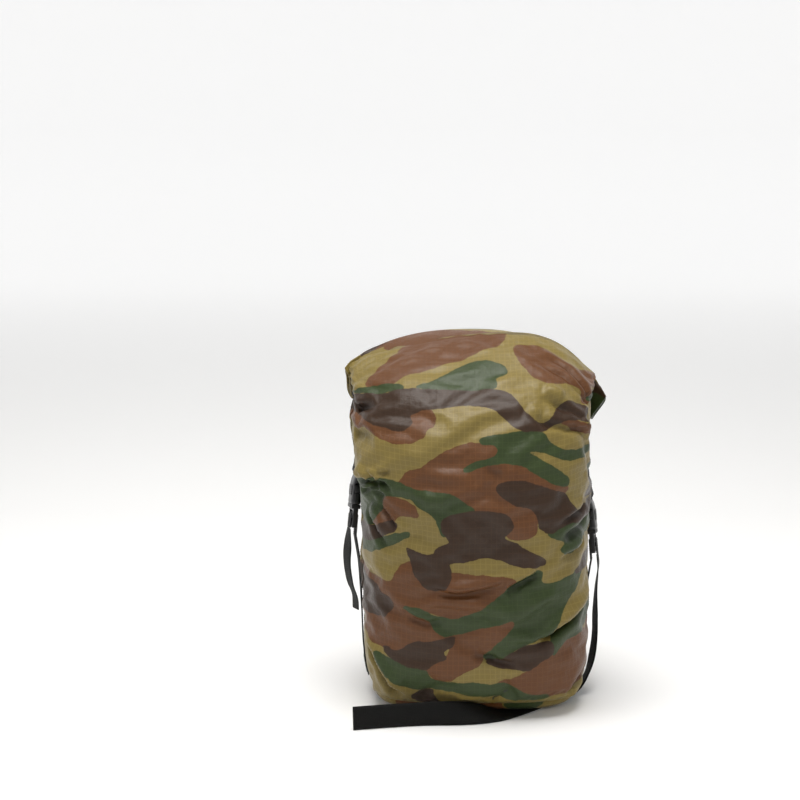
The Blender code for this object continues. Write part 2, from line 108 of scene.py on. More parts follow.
RIGHT_TAIL = [
    ((137, 29.5, 136), (0.14, 0.98, 0)),
    ((134.5, 24.8, 112), (0.0, 1, 0)),
    ((133.5, 19.5, 86), (-0.14, 0.98, 0)),
    ((133, 14.2, 62), (-0.14, 0.98, 0)),
    ((129.5, 9, 38), (-0.14, 0.98, 0)),
    ((122.5, 6, 17), (0, 1, 0)),
    ((111, 4, 4.6), (-0.15, 1, 0)),
    ((95, 0, 1.7), (-0.4, 1, 0)),
    ((77, -22, 1.5), (-0.8, 0.9, 0)),
    ((57, -46, 1.6), (-0.55, 0.85, 0.02)),
    ((28, -72, 3.2), (-0.3, 0.93, 0.16)),
    ((1.5, -87, 9.2), (-0.2, 0.72, 0.66)),
    ((-27, -95, 12.4), (-0.1, 0.35, 0.93)),
    ((-60, -100, 13.1), (0, 0.12, 1)),
    ((-95, -106, 13.1), (0, 0.12, 1)),
    ((-129, -113, 13.1), (0, 0.12, 1)),
]


def catmull_rom(values, t):
    """A point on the smooth curve through values, for each t from 0 to len(values) - 1."""
    values = np.asarray(values, float)
    t = np.asarray(t, float)
    last = len(values) - 1
    i = np.clip(t.astype(int), 0, last - 1)
    f = (t - i)[:, None]
    p1, p2 = values[i], values[i + 1]
    p0 = np.where((i > 0)[:, None], values[np.maximum(i - 1, 0)], 2 * p1 - p2)
    p3 = np.where((i + 2 <= last)[:, None], values[np.minimum(i + 2, last)], 2 * p2 - p1)
    bend = 2 * p0 - 5 * p1 + 4 * p2 - p3
    twist = 3 * p1 - p0 - 3 * p2 + p3
    return 0.5 * (2 * p1 + (p2 - p0) * f + bend * f**2 + twist * f**3)


def unit(v):
    return v / np.maximum(np.linalg.norm(v, axis=-1, keepdims=True), 1e-12)


def strap_y(height):
    return STRAP_FOOT_Y + STRAP_SLOPE * (height - ANCHOR_HEIGHT)


def buckle_axes(side):
    """Origin, across, out and up of a buckle."""
    height = BUCKLE_HEIGHT[side]
    up = unit(np.array((-side * math.sin(BUCKLE_TILT), STRAP_SLOPE, 1.0)))
    out = np.array((side * math.cos(BUCKLE_TURN), -math.sin(BUCKLE_TURN), 0.0))
    out = unit(out - out.dot(up) * up)
    origin = np.array((side * BUCKLE_X, strap_y(height), height))
    return origin, np.cross(out, up), out, up


def in_buckle(side, points):
    origin, _, out, up = buckle_axes(side)
    return [origin + out * a + up * b for a, b in points]


def arc(up, radius, start, end, count=10):
    angles = np.radians(np.linspace(start, end, count + 1))
    return [(radius * math.cos(a), up + radius * math.sin(a)) for a in angles]


def lengths_along(points):
    """The length of a line up to each of its points."""
    return np.concatenate([[0], np.cumsum(np.linalg.norm(np.diff(points, axis=0), axis=1))])


def resample(centres, across, step):
    """The route again with points that far apart."""
    centres, across = np.asarray(centres, float), np.asarray(across, float)
    along = lengths_along(centres)
    at = np.linspace(0, along[-1], max(2, math.ceil(along[-1] / step) + 1))
    line = np.stack([np.interp(at, along, centres[:, k]) for k in range(3)], 1)
    wide = np.stack([np.interp(at, along, across[:, k]) for k in range(3)], 1)
    return line, unit(wide), at


def eased(share):
    """A share from 0 to 1 that starts and ends gently."""
    return share * share * (3 - 2 * share)


# Meshes


def add_piece(name, points, faces, material, body="sack", uv=None, attributes=None):
    """A smooth mesh that rides on a body; uv is given for each point or for each face's corners in turn."""
    points = np.asarray(points, float)
    mesh = bpy.data.meshes.new(name)
    mesh.from_pydata([tuple(p) for p in points], [], [tuple(int(i) for i in f) for f in faces])
    if uv is not None:
        uv = np.asarray(uv, np.float32)
        if len(uv) == len(points):
            uv = uv[[i for f in faces for i in f]]
        mesh.uv_layers.new(name="weave").data.foreach_set("uv", uv.ravel())
    for key, value in (attributes or {}).items():
        made = mesh.attributes.new(key, "FLOAT_VECTOR", "POINT")
        made.data.foreach_set("vector", np.asarray(value, np.float32).ravel())
    mesh.validate()
    mesh.polygons.foreach_set("use_smooth", [True] * len(mesh.polygons))
    mesh.update()
    obj = bpy.data.objects.new(name, mesh)
    bpy.context.collection.objects.link(obj)
    mesh.materials.append(material)
    if body:
        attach(obj, body)
    return obj


def strip_faces(rows, columns, around=True, offset=0):
    """Quads of a grid of rows, whose columns may close into a ring."""
    faces = []
    for i in range(rows - 1):
        for j in range(columns if around else columns - 1):
            k = (j + 1) % columns
            a, b = offset + i * columns, offset + (i + 1) * columns
            faces.append((a + j, a + k, b + k, b + j))
    return faces


def tube_faces(rows, columns, offset=0):
    """Quads of a grid whose columns close into a ring, with a face over each end."""
    first = range(offset, offset + columns)
    last = range(offset + (rows - 1) * columns, offset + rows * columns)
    return strip_faces(rows, columns, offset=offset) + [tuple(first)[::-1], tuple(last)]


def sheet_faces(rows, columns):
    """Both faces and the rim of a thick sheet, whose upper points come first and then its lower ones."""
    upper = strip_faces(rows, columns, around=False)
    count = rows * columns
    faces = upper + [tuple(i + count for i in f[::-1]) for f in upper]
    rim = [*range(columns), *range(2 * columns - 1, count, columns)]
    rim += [*range(count - 2, count - columns - 1, -1), *range(count - 2 * columns, 0, -columns)]
    return faces + [(b, a, a + count, b + count) for a, b in zip(rim, rim[1:] + rim[:1])]


RIB_PITCH = 2.2 * MM
YARN_PITCH = 1.6 * MM
RIB_HEIGHT = 0.17 * MM


def webbing(name, centres, across, material, body="sack"):
    """Ribbed webbing with rounded edges along a route."""
    line, wide, at = resample(centres, across, RIB_PITCH / 4)
    along = unit(np.gradient(line, axis=0))
    side = unit(wide - (wide * along).sum(1)[:, None] * along)
    up = np.cross(along, side)
    half = 9
    share = np.linspace(-1, 1, half)
    lens = np.sqrt(np.clip(1 - np.abs(share) ** 9, 0, 1)) * 0.82 + 0.18
    rib = RIB_HEIGHT * np.cos(2 * math.pi * at / RIB_PITCH)
    ring_side = np.concatenate([share, share[::-1]]) * WEB_WIDTH / 2
    rows = []
    for k in range(len(line)):
        top = WEB / 2 * lens + rib[k] * lens
        bottom = -WEB / 2 * lens + rib[k] * lens
        ring_up = np.concatenate([top, bottom[::-1]])
        rows.append(line[k] + side[k] * ring_side[:, None] + up[k] * ring_up[:, None])
    faces = [f[::-1] for f in tube_faces(len(rows), 2 * half)]
    uv = np.stack([np.tile(ring_side, len(rows)), np.repeat(at, 2 * half)], 1)
    return add_piece(name, np.concatenate(rows), faces, material, body, uv=uv)


# Materials


class Graph:
    """A material's node tree, built in few words."""

    def __init__(self, name):
        self.material = bpy.data.materials.new(name)
        self.material.use_nodes = True
        self.tree = self.material.node_tree
        self.tree.nodes.clear()
        self.shader = self.add("ShaderNodeBsdfPrincipled")
        output = self.add("ShaderNodeOutputMaterial")
        self.tree.links.new(self.shader.outputs[0], output.inputs[0])

    def add(self, kind, **options):
        made = self.tree.nodes.new(kind)
        for key, value in options.items():
            setattr(made, key, value)
        return made

    def put(self, socket, value):
        if isinstance(value, bpy.types.NodeSocket):
            self.tree.links.new(value, socket)
        else:
            socket.default_value = value

    def math(self, operation, a, b=0.0, c=None, clamp=False):
        made = self.add("ShaderNodeMath", operation=operation, use_clamp=clamp)
        self.put(made.inputs[0], a)
        self.put(made.inputs[1], b)
        if c is not None:
            self.put(made.inputs[2], c)
        return made.outputs[0]

    def mix(self, share, a, b):
        made = self.add("ShaderNodeMix", data_type="RGBA")
        self.put(made.inputs[0], share)
        self.put(made.inputs[6], a)
        self.put(made.inputs[7], b)
        return made.outputs[2]

    def noise(self, scale, detail=2.0, vector=None, roughness=0.5):
        made = self.add("ShaderNodeTexNoise")
        made.inputs["Scale"].default_value = scale
        made.inputs["Detail"].default_value = detail
        made.inputs["Roughness"].default_value = roughness
        if vector is not None:
            self.put(made.inputs["Vector"], vector)
        return made.outputs["Fac"]

    def split(self, vector):
        """The three parts of a vector."""
        made = self.add("ShaderNodeSeparateXYZ")
        self.put(made.inputs[0], vector)
        return made.outputs

    def attribute(self, name):
        return self.split(self.add("ShaderNodeAttribute", attribute_name=name).outputs["Vector"])

    def weave(self):
        """The two weave coordinates, in metres."""
        return self.split(self.add("ShaderNodeUVMap", uv_map="weave").outputs[0])

    def wave(self, value, pitch):
        return self.math("SINE", self.math("MULTIPLY", value, 2 * math.pi / pitch))

    def place(self):
        return self.add("ShaderNodeTexCoord").outputs["Object"]

    def bump(self, height, strength, distance, normal=None):
        made = self.add("ShaderNodeBump")
        made.inputs["Strength"].default_value = strength
        made.inputs["Distance"].default_value = distance
        self.put(made.inputs["Height"], height)
        if normal is not None:
            self.put(made.inputs["Normal"], normal)
        return made.outputs[0]

    def set(self, **values):
        for key, value in values.items():
            self.put(self.shader.inputs[key.replace("_", " ")], value)


def srgb(r, g, b):
    """A linear colour from 8-bit display values."""
    parts = []
    for c in (r / 255, g / 255, b / 255):
        parts.append(c / 12.92 if c <= 0.04045 else ((c + 0.055) / 1.055) ** 2.4)
    return (*parts, 1.0)


KHAKI = srgb(122, 106, 56)
RED_BROWN = srgb(94, 59, 32)
GREEN = srgb(50, 62, 32)
DARK_BROWN = srgb(54, 37, 24)
RIPSTOP_PITCH = 5.5 * MM
THREAD_PITCH = 0.45 * MM


def ripstop_material():
    """Printed ripstop nylon: three printed shades over khaki, a raised grid and a fine weave, with painted
    sheen on the grid lines and painted shade in the deep creases.
    """
    g = Graph("ripstop")
    place = g.place()
    fields = g.attribute("camo")
    wobble = g.math("MULTIPLY", g.math("SUBTRACT", g.noise(90, 3, place), 0.5), 5.0)
    colour = KHAKI
    for channel, shade in enumerate((RED_BROWN, GREEN, DARK_BROWN)):
        share = g.math("MULTIPLY_ADD", g.math("ADD", fields[channel], wobble), 1.6, 0.5, clamp=True)
        colour = g.mix(share, colour, shade)
    weave = g.weave()
    lines = []
    for channel in (0, 1):
        phase = g.math("FRACT", g.math("DIVIDE", weave[channel], RIPSTOP_PITCH))
        away = g.math("ABSOLUTE", g.math("SUBTRACT", phase, 0.5))
        lines.append(g.math("MULTIPLY_ADD", away, -9.0, 1.0, clamp=True))
    grid = g.math("MAXIMUM", *lines)
    soft = g.noise(14, 3, place)
    shade = g.math("MULTIPLY_ADD", soft, 0.24, 0.88)
    # Painted sheen: the colour is lightened along the raised grid lines.
    shade = g.math("MULTIPLY", shade, g.math("MULTIPLY_ADD", grid, 0.22, 0.96))
    # Painted shade: the colour is darkened where the wall is creased deepest.
    shade = g.math("MULTIPLY", shade, g.math("MULTIPLY_ADD", g.attribute("painted_crease_shade")[0], -0.45, 1.0))
    made = g.add("ShaderNodeVectorMath", operation="SCALE")
    g.put(made.inputs[0], colour)
    g.put(made.inputs["Scale"], shade)
    fine = g.math("MULTIPLY", g.wave(weave[0], THREAD_PITCH), g.wave(weave[1], THREAD_PITCH))
    height = g.math("ADD", grid, g.math("MULTIPLY", fine, 0.25))
    creases = g.noise(55, 4, place, 0.55)
    bump = g.bump(creases, 0.35, 4 * MM)
    bump = g.bump(height, 0.5, 0.12 * MM, bump)
    rough = g.math("MULTIPLY_ADD", g.noise(25, 2, place), 0.16, 0.3)
    g.set(Base_Color=made.outputs[0], Roughness=rough, Normal=bump)
    g.shader.inputs["Sheen Weight"].default_value = 0.04
    g.shader.inputs["Sheen Roughness"].default_value = 0.4
    g.shader.inputs["Specular IOR Level"].default_value = 0.28
    return g.material


def webbing_material():
    """Black woven webbing, its yarns crossing under a little fuzz, with painted shade where the weave is low.
    """
    g = Graph("webbing")
    weave = g.weave()
    height = g.math("MULTIPLY", g.wave(weave[0], YARN_PITCH), g.wave(weave[1], RIB_PITCH))
    fuzz = g.noise(900, 2, g.place())
    # Painted shade: the colour is darker where the weave is low and lighter on the yarn tops.
    shade = g.mix(g.math("MULTIPLY_ADD", height, 0.25, 0.5), srgb(3, 3, 3), srgb(13, 13, 12))
    shade = g.mix(g.math("MULTIPLY", fuzz, 0.3), shade, srgb(26, 26, 22))
    bump = g.bump(g.math("ADD", height, fuzz), 0.5, 0.25 * MM)
    g.set(Base_Color=shade, Roughness=0.62, Normal=bump)
    g.shader.inputs["Specular IOR Level"].default_value = 0.16
    return g.material


def plastic_material():
    """Black moulded plastic with a fine grain and slight wear."""
    g = Graph("buckle_plastic")
    place = g.place()
    grain = g.noise(1400, 3, place)
    wear = g.noise(120, 3, place)
    colour = g.mix(wear, srgb(5, 5, 5), srgb(14, 14, 14))
    rough = g.math("MULTIPLY_ADD", wear, 0.16, 0.24)
    g.set(Base_Color=colour, Roughness=rough, Normal=g.bump(grain, 0.25, 0.08 * MM))
    return g.material


def cloth_material(name, dark, light):
    """Plain matt cloth or thread between two shades."""
    g = Graph(name)
    place = g.place()
    colour = g.mix(g.noise(40, 3, place), dark, light)
    bump = g.bump(g.noise(700, 2, place), 0.4, 0.2 * MM)
    g.set(Base_Color=colour, Roughness=0.6, Normal=bump)
    return g.material


# The sack's shape

# Height, half width left and right, front and back of the plain round-topped sack, in mm
STATIONS = np.array(
    [
        (13, 106, 110, -67, 66),
        (20, 110, 115, -78, 77),
        (34, 113, 119, -88, 86),
        (60, 116, 121, -94, 92),
        (100, 118, 120, -96, 95),
        (160, 119, 119, -98, 97),
        (225, 120, 120, -98, 96),
        (262, 127, 121, -95, 93),
        (300, 130, 122, -83, 90),
        (332, 128, 124, -62, 83),
        (362, 122, 120, -28, 74),
        (383, 112, 110, 14, 64),
        (392, 104, 103, 40, 56),
    ],
    float,
)
# The half widths of the sack itself, whose top corners reach out to the ends of the roll
LEFT_REACH = np.array([108, 111, 114, 117, 118, 119, 120, 127, 130, 128, 131, 135, 137], float)
RIGHT_REACH = np.array([110, 115, 119, 121, 120, 119, 120, 120, 120, 122, 127, 130, 131], float)
# Share of the reach, and how far the ridge has dropped there in mm
RIDGE_DROP = [(-1, 36), (-0.88, 25), (-0.63, 17), (-0.4, 10), (-0.15, 4.5), (0.1, 1.5)]
RIDGE_DROP += [(0.35, 0.5), (0.5, 2), (0.68, 10), (0.84, 25), (1, 48)]
SHOULDER = 300
SHOULDER_TO_RIDGE = 92
MIDDLE = 5
ROWS = 93
COLUMNS = 140


def rounded(value, power):
    return np.sign(value) * np.abs(value) ** power


def surface(level, angle):
    """Points of the smooth sack in mm, for arrays of level and angle."""
    z, _, _, front, back = catmull_rom(STATIONS, np.ravel(level)).T
    left, right = catmull_rom(np.stack([LEFT_REACH, RIGHT_REACH], 1), np.ravel(level)).T
    c, s = np.cos(np.ravel(angle)), np.sin(np.ravel(angle))
    reach = np.where(c > 0, right, left)
    power = 0.8 - 0.2 * np.clip((70 - z) / 50, 0, 1)
    x = reach * rounded(c, power)
    y = (front + back) / 2 + (back - front) / 2 * rounded(s, power)
    z = z - ridge_drop(x / reach) * shoulder_rise(z) ** 1.5
    return np.stack([x, y, z], 1).reshape(np.shape(level) + (3,))


def shoulder_rise(z):
    """0 up to the shoulder and 1 at the ridge."""
    return np.maximum(0, (z - SHOULDER) / SHOULDER_TO_RIDGE)


def ridge_drop(share):
    """How far below its highest point the ridge is, at that share of its reach."""
    x = np.linspace(-1.3, 1.3, 521)
    drop = np.interp(x, *np.array(RIDGE_DROP, float).T)
    kernel = np.hanning(61)
    padded = np.pad(drop, 30, mode="edge")
    return np.interp(share, x, np.convolve(padded, kernel / kernel.sum(), "valid"))


def print_place(level, angle, u, v):
    """Where the print's own layout, made for a plain round-topped sack, is seen on the sack."""
    z, left, right, front, back = catmull_rom(STATIONS, np.ravel(level)).T
    x, _, height = surface(np.ravel(level), np.ravel(angle)).T
    plain = np.where(x > 0, right, left)
    share = np.minimum(1, np.abs(x) / plain)
    shift = z - np.where(x < 0, 15, 30) * shoulder_rise(z) ** 1.5 * share**2.4 - height
    slope = np.interp(z, [250, 332, 362, 383, 392], [1.0, 0.9, 0.72, 0.56, 0.5])
    old = np.arccos(np.clip(x / plain, -1, 1) * share**0.25) / math.pi
    fresh = np.interp(-old * math.pi, ANGLES_FINE, GIRTH_FINE)
    fresh += np.sign(x) * np.maximum(0, np.abs(x) - plain)
    front_half = np.sin(np.ravel(angle)) < 0
    top = np.clip((z - SHOULDER) / 30, 0, 1) * front_half
    lifted = np.clip((z - SHOULDER + 10) / 30, 0, 1) * front_half
    u, v = np.ravel(u), np.ravel(v)
    return u + (fresh - u) * top, v - shift / slope * lifted


def arc_lengths(points, axis):
    steps = np.linalg.norm(np.diff(points, axis=axis), axis=-1)
    total = np.cumsum(steps, axis=axis)
    return np.concatenate([np.zeros_like(np.take(total, [0], axis)), total], axis)


def sack_grid():
    """Each row's level and height v up the front, each column's angle and place u round the girth, in mm."""
    fine = np.linspace(0, len(STATIONS) - 1, 600)
    meridian = surface(fine, np.full(len(fine), -math.pi / 2))
    v = arc_lengths(meridian, 0)
    heights = np.linspace(0, v[-1], ROWS)
    levels = np.interp(heights, v, fine)
    angles = np.linspace(-math.pi, math.pi, 1441)
    girth = arc_lengths(surface(np.full(len(angles), float(MIDDLE)), angles), 0)
    spots = np.linspace(0, girth[-1], COLUMNS + 1)[:-1]
    columns = np.interp(spots, girth, angles)
    return levels, columns, spots - girth[-1] / 4, heights, girth[-1], angles, girth - girth[-1] / 4


LEVELS, ANGLES, GIRTH_U, HEIGHT_V, GIRTH, ANGLES_FINE, GIRTH_FINE = sack_grid()

# Print: outlines in mm as (u, v), with u round the sack from the middle of its front and v up the front

BROWN_AREAS = [
    [
        (-138, 372), (-125, 388), (-114, 406), (-104, 422), (-96, 424), (-66, 431), (-66, 434), (-98, 428),
        (-92, 446), (-72, 470), (-46, 470), (-46, 447), (-22, 456), (-14, 470), (36, 470), (36, 448),
        (27, 433), (13, 425), (0, 417), (-15, 409), (-33, 400), (-50, 390), (-68, 386), (-76, 382),
        (-85, 370), (-96, 366), (-108, 364), (-128, 366),
    ],
    [
        (-155, 318), (-140, 303), (-122, 312), (-100, 303), (-87, 297), (-70, 297), (-58, 300), (-52, 305),
        (-50, 311), (-42, 320), (-41, 327), (-46, 335), (-54, 335), (-150, 340),
    ],
    [
        (44, 428), (50, 437), (62, 442), (80, 443), (105, 432), (126, 412), (142, 392), (160, 365),
        (135, 340), (118, 344), (124, 362), (114, 374), (100, 378), (85, 372), (71, 371), (60, 380),
        (50, 396), (45, 413),
    ],
    [
        (-71, 262), (-69, 265), (-53, 271), (-42, 279), (-28, 290), (-16, 296), (0, 298), (16, 295),
        (22, 290), (17, 285), (55, 268), (70, 259), (87, 250), (100, 246), (60, 221), (58, 200), (28, 200),
        (28, 220), (0, 230), (-2, 228), (-11, 235), (-22, 244), (-36, 248), (-49, 246), (-58, 248),
        (-67, 252), (-80, 250),
    ],
    [
        (-105, 238), (-79, 237), (-63, 232), (-60, 222), (-73, 223), (-83, 221), (-89, 214), (-99, 211),
        (-111, 205), (-117, 207), (-112, 214), (-107, 219),
    ],
    [
        (-155, 150), (-108, 147), (-88, 147), (-84, 158), (-80, 168), (-62, 172), (-28, 162), (10, 159),
        (40, 157), (30, 147), (27, 139), (5, 125), (-25, 112), (-44, 119), (-73, 124), (-66, 116),
        (-50, 111), (-45, 100), (-35, 93), (-21, 94), (-26, 83), (-68, 85), (-85, 72), (-108, 76),
        (-118, 78), (-135, 85), (-150, 100),
    ],
    [
        (-45, 52), (-50, 57), (-31, 70), (-26, 83), (-21, 94), (-6, 101), (10, 107), (28, 110), (35, 115),
        (40, 108), (30, 94), (16, 82), (8, 72), (2, 63), (-15, 55), (-25, 45), (-38, 43),
    ],
    [
        (10, 37), (36, 46), (49, 53), (67, 67), (78, 70), (86, 75), (98, 85), (128, 90), (145, 60),
        (145, 38), (103, 28), (88, 20), (60, 17), (31, 30),
    ],
    [(87, 319), (100, 320), (118, 311), (155, 295), (130, 301), (108, 308), (94, 316)],
    [(80, 425), (95, 425), (95, 435), (80, 435)],
]
GREEN_AREAS = [
    [(-150, 352), (-122, 365), (-95, 368), (-80, 368), (-74, 362), (-75, 360), (-110, 355)],
    [
        (-65, 360), (-50, 366), (-35, 375), (-20, 392), (-5, 400), (13, 401), (26, 396), (32, 386),
        (29, 380), (23, 377), (17, 376), (20, 364), (17, 358),
    ],
    [
        (1, 302), (7, 305), (24, 306), (39, 309), (57, 310), (67, 305), (77, 293), (93, 285), (112, 284),
        (140, 284), (150, 281), (137, 278), (105, 275), (86, 278), (70, 287), (59, 290), (51, 288),
        (58, 283), (70, 275), (84, 266), (97, 257), (98, 250), (87, 250), (70, 259), (55, 268), (46, 276),
        (24, 279), (6, 276), (-6, 272), (-14, 269), (-11, 274), (-1, 280), (12, 281), (18, 285), (22, 292),
        (14, 298), (3, 297),
    ],
    [
        (-150, 245), (-127, 251), (-105, 257), (-90, 256), (-77, 254), (-58, 248), (-36, 248), (-22, 244),
        (-11, 235), (-2, 228), (-4, 220), (-9, 220), (-29, 204), (-36, 202), (-40, 216), (-48, 228),
        (-60, 233), (-68, 241), (-104, 240), (-107, 222), (-117, 208), (-130, 198), (-150, 196),
    ],
    [
        (-71, 204), (-83, 201), (-95, 197), (-107, 192), (-150, 186), (-150, 172), (-128, 173),
        (-111, 179), (-97, 186), (-83, 193), (-73, 198),
    ],
    [
        (-80, 122), (-60, 124), (-45, 115), (-25, 110), (-6, 117), (15, 131), (30, 144), (45, 158),
        (64, 164), (68, 160), (64, 150), (78, 147), (102, 152), (130, 163), (113, 140), (97, 126),
        (85, 111), (73, 99), (65, 88), (46, 83), (30, 72), (10, 66), (8, 72), (16, 82), (30, 94),
        (40, 107), (35, 115), (27, 110), (10, 107), (-6, 101), (-20, 96), (-35, 93), (-45, 100),
        (-50, 111), (-66, 116),
    ],
    [(83, 94), (130, 118), (150, 112), (150, 98), (128, 88), (98, 84), (86, 75), (80, 68), (77, 83)],
    [
        (-118, 70), (-90, 62), (-70, 58), (-50, 55), (-47, 46), (-36, 41), (-5, 43), (26, 38), (46, 25),
        (75, 19), (60, 12), (31, 16), (10, 24), (-15, 32), (-38, 31), (-75, 33), (-103, 52),
    ],
    [
        (72, 203), (84, 207), (100, 210), (116, 208), (150, 206), (150, 189), (117, 190), (106, 188),
        (97, 190), (84, 195), (75, 199),
    ],
    [
        (87, 183), (91, 188), (99, 190), (110, 191), (116, 188), (115, 182), (112, 176), (102, 177),
        (92, 179),
    ],
]
DARK_AREAS = [
    [
        (-150, 350), (-105, 354), (-78, 358), (-70, 361), (-50, 359), (-25, 358), (0, 360), (19, 359),
        (34, 352), (40, 341), (47, 330), (57, 320), (67, 318), (76, 326), (81, 336), (91, 346), (107, 345),
        (122, 340), (137, 325), (125, 312), (103, 320), (88, 319), (78, 316), (67, 309), (57, 309),
        (40, 311), (31, 320), (18, 333), (0, 340), (-25, 340), (-41, 336), (-61, 333), (-66, 328),
        (-65, 326), (-62, 320), (-67, 311), (-78, 309), (-95, 313), (-107, 313), (-130, 322), (-155, 322),
    ],
    [
        (16, 252), (24, 258), (37, 259), (50, 258), (65, 252), (77, 248), (91, 243), (97, 238), (104, 226),
        (110, 218), (116, 224), (150, 224), (150, 206), (118, 209), (100, 210), (84, 206), (74, 202),
        (62, 209), (60, 221), (58, 226), (51, 232), (37, 235), (26, 242),
    ],
    [
        (-10, 228), (4, 230), (29, 227), (37, 213), (29, 204), (26, 198), (38, 193), (56, 184), (72, 173),
        (71, 169), (59, 167), (38, 170), (23, 177), (8, 180), (-9, 176), (-27, 174), (-29, 172),
        (-26, 164), (-29, 153), (-33, 145), (-44, 143), (-55, 147), (-65, 157), (-67, 166), (-71, 177),
        (-76, 188), (-69, 186), (-59, 180), (-45, 182), (-43, 189), (-34, 193), (-29, 195), (-32, 202),
        (-37, 209), (-36, 221),
    ],
    [
        (-84, 211), (-89, 214), (-99, 211), (-111, 204), (-150, 196), (-150, 184), (-128, 184),
        (-111, 191), (-97, 199), (-88, 203),
    ],
    [(-155, 147), (-112, 142), (-103, 132), (-90, 128), (-92, 117), (-108, 103), (-150, 108)],
    [
        (-108, 76), (-85, 72), (-68, 85), (-45, 87), (-33, 91), (-21, 94), (-26, 83), (-36, 77), (-31, 70),
        (-42, 66), (-50, 57), (-70, 58), (-90, 62),
    ],
    [(-52, 30), (-38, 31), (-36, 22), (-22, 0), (-48, 8), (-66, 20)],
    [
        (6, 66), (25, 68), (35, 77), (57, 83), (77, 86), (82, 77), (79, 70), (64, 64), (52, 55), (36, 56),
        (18, 60),
    ],
    [(150, 178), (103, 155), (122, 152), (150, 162)],
]
FAR = -20.0
PRINT_EDGE = 145
CORNER_CUT = 0.22
# How much each print field is widened, so that no khaki shows between touching areas
PRINT_SPREAD = np.array([2.0, 1.2, 0.6])


def round_off(outline):
    """An outline with its corners cut, and its cut-off ends drawn out round the sack's sides."""
    line = np.array(outline, float)
    wide = np.abs(line[:, 0]) >= PRINT_EDGE
    line[wide, 0] = np.sign(line[wide, 0]) * (186 + 14 * np.sin(line[wide, 1] / 17))
    for _ in range(2):
        ahead = np.roll(line, -1, axis=0) - line
        line = np.stack([line + CORNER_CUT * ahead, line + (1 - CORNER_CUT) * ahead], 1).reshape(-1, 2)
    return line


def depth_inside(outline, u, v):
    """How far each point is inside a closed outline, in mm; negative outside."""
    found = np.full(u.shape, FAR)
    low, high = outline.min(0) + FAR, outline.max(0) - FAR
    near = np.flatnonzero((u > low[0]) & (u < high[0]) & (v > low[1]) & (v < high[1]))
    if not len(near):
        return found
    p = np.stack([u[near], v[near]], 1)
    best = np.full(len(near), 1e9)
    inside = np.zeros(len(near), bool)
    for a, b in zip(outline, np.roll(outline, -1, axis=0)):
        d = b - a
        t = np.clip(((p - a) @ d) / max(d @ d, 1e-9), 0, 1)
        best = np.minimum(best, np.linalg.norm(p - a - t[:, None] * d, axis=1))
        crosses = (a[1] > p[:, 1]) != (b[1] > p[:, 1])
        if d[1]:
            inside ^= crosses & (p[:, 0] < a[0] + (p[:, 1] - a[1]) / d[1] * d[0])
    found[near] = np.maximum(np.where(inside, best, -best), FAR)
    return found


AREAS = [[round_off(o) for o in areas] for areas in (BROWN_AREAS, GREEN_AREAS, DARK_AREAS)]


def printed(u, v):
    """The three print fields of the front panel at (u, v)."""
    fields = []
    for outlines in AREAS:
        fields.append(np.max([depth_inside(o, u, v) for o in outlines], axis=0))
    return np.stack(fields, 1)


def print_round(u, v):
    """Print fields round the whole sack, where u runs from -GIRTH / 4 to 3 * GIRTH / 4."""
    behind = u - GIRTH / 2
    front = printed(np.where(u > GIRTH / 2, u - GIRTH, u), v)
    back = printed(-0.86 * behind, 442 - v * 0.96)
    return np.maximum(front, back)


# Folds: a line in (u, v), then the depth and width in mm, the lip's height as a share of the depth,
# and the shares of the length over which the fold starts and ends

